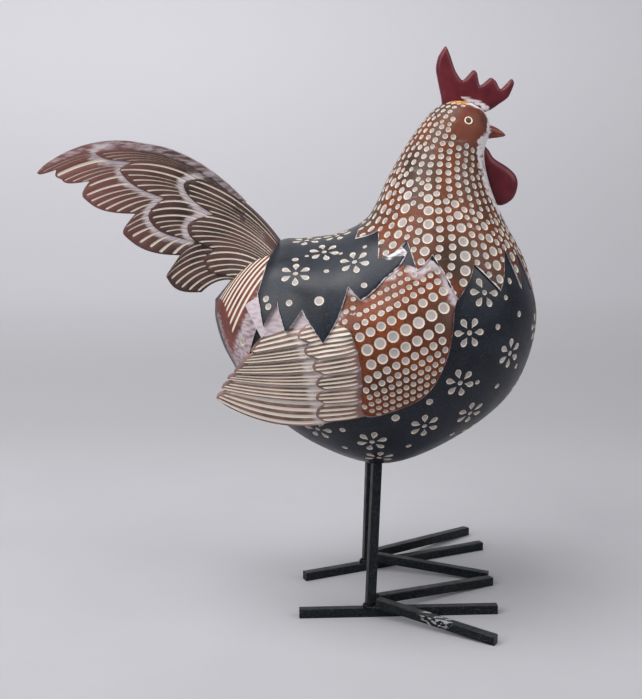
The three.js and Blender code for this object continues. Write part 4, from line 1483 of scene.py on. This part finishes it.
bpy.context.scene.collection.objects.link(weld_beads)
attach(weld_beads, "root")


# Floor, light and camera
# A plain pale paper sweep under and behind the object, with soft light from both sides and on the wall. Its
# colour also carries painted shade and painted light.
# The camera stands at the height of the bird's head and looks a little down.
SWEEP_START = 0.9
SWEEP_RADIUS = 0.5
FLOOR_FRONT = -2.0
FLOOR_SIDE = 3
WALL_TOP = 2.6

sweep = np.linspace(0, math.pi / 2, 24)
floor_profile = [(FLOOR_FRONT, 0)]
floor_profile += [(SWEEP_START + SWEEP_RADIUS * math.sin(a), SWEEP_RADIUS * (1 - math.cos(a))) for a in sweep]
floor_profile += [(SWEEP_START + SWEEP_RADIUS, WALL_TOP)]
floor_points = [(x, y, z) for y, z in floor_profile for x in (-FLOOR_SIDE, FLOOR_SIDE)]
floor_faces = [(2 * i, 2 * i + 1, 2 * i + 3, 2 * i + 2) for i in range(len(floor_profile) - 1)]
floor_mesh = bpy.data.meshes.new("floor")
floor_mesh.from_pydata(floor_points, [], floor_faces)
floor_mesh.shade_smooth()
floor = bpy.data.objects.new("floor", floor_mesh)
bpy.context.scene.collection.objects.link(floor)
floor_paper = bpy.data.materials.new("pale_paper")
floor_paper.use_nodes = True
paper_tree = floor_paper.node_tree
paper_grain = paper_tree.nodes.new("ShaderNodeGroup")
paper_grain.node_tree = brushwork
paper_grain.inputs["Scale"].default_value = 0.1
paper = over(paper_tree, paper_grain.outputs["Cloud"], colour(163, 162, 166), colour(166, 165, 169))
paper_spot = paper_tree.nodes.new("ShaderNodeTexCoord").outputs["Object"]
paper_x, paper_y, paper_z = add_node(paper_tree, "ShaderNodeSeparateXYZ", Vector=paper_spot).outputs
# Painted shade and painted light on the one paper: a darker band on the floor behind the bird, lighter again
# at the foot of the sweep, and lighter still up the wall
paper = over(paper_tree, grade(paper_tree, paper_y, 0.1, 0.4), paper, colour(149, 148, 151))
paper = over(paper_tree, grade(paper_tree, paper_y, 0.5, 1.05), paper, colour(168, 167, 171))
paper = over(paper_tree, grade(paper_tree, paper_z, 0.03, 0.4), paper, colour(183, 182, 186))
# Painted shade: the paper is darkened towards the right
paper_painted_shade = worked(paper_tree, "MULTIPLY", grade(paper_tree, paper_x, -0.3, 0.7), 0.15)
paper = over(paper_tree, paper_painted_shade, paper, colour(90, 90, 90))
paper_tree.links.new(paper, paper_tree.nodes["Principled BSDF"].inputs["Base Color"])
paper_tree.nodes["Principled BSDF"].inputs["Roughness"].default_value = 0.9
floor_mesh.materials.append(floor_paper)
floor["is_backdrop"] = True

world = bpy.data.worlds.new("studio")
world.use_nodes = True
world.node_tree.nodes["Background"].inputs["Color"].default_value = (0.93, 0.93, 1.0, 1)
world.node_tree.nodes["Background"].inputs["Strength"].default_value = 0.3
bpy.context.scene.world = world
for name, place, aim, size, power in (
    ("left_softbox", (-1.1, -0.9, 1.2), (0, 0, 0.15), 1.3, 27),
    ("right_softbox", (1.2, -0.7, 1.0), (0, 0, 0.15), 1.1, 12),
    ("wall_softbox", (-0.4, 0.1, 1.7), (0, 1.4, 0.8), 1.2, 31),
):
    lamp = bpy.data.lights.new(name, "AREA")
    lamp.shape = "SQUARE"
    lamp.size = size
    lamp.energy = power
    box = bpy.data.objects.new(name, lamp)
    box.location = place
    box.rotation_euler = (Vector(aim) - Vector(place)).to_track_quat("-Z", "Y").to_euler()
    bpy.context.scene.collection.objects.link(box)

CAMERA_PLACE = (-25.5, -649, 260.8)
CAMERA_DIP = 11
IMAGE_HEIGHT = 699
FOCAL_PIXELS = 1250
lens = bpy.data.cameras.new("camera")
lens.sensor_width = 36
lens.lens = FOCAL_PIXELS * 36 / IMAGE_HEIGHT
lens.clip_start = 0.02
camera = bpy.data.objects.new("camera", lens)
camera.location = to_frame(CAMERA_PLACE)
camera.rotation_euler = (math.radians(90 - CAMERA_DIP), 0, 0)
bpy.context.scene.collection.objects.link(camera)
bpy.context.scene.camera = camera
bpy.context.scene.view_settings.view_transform = "Standard"

low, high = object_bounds()
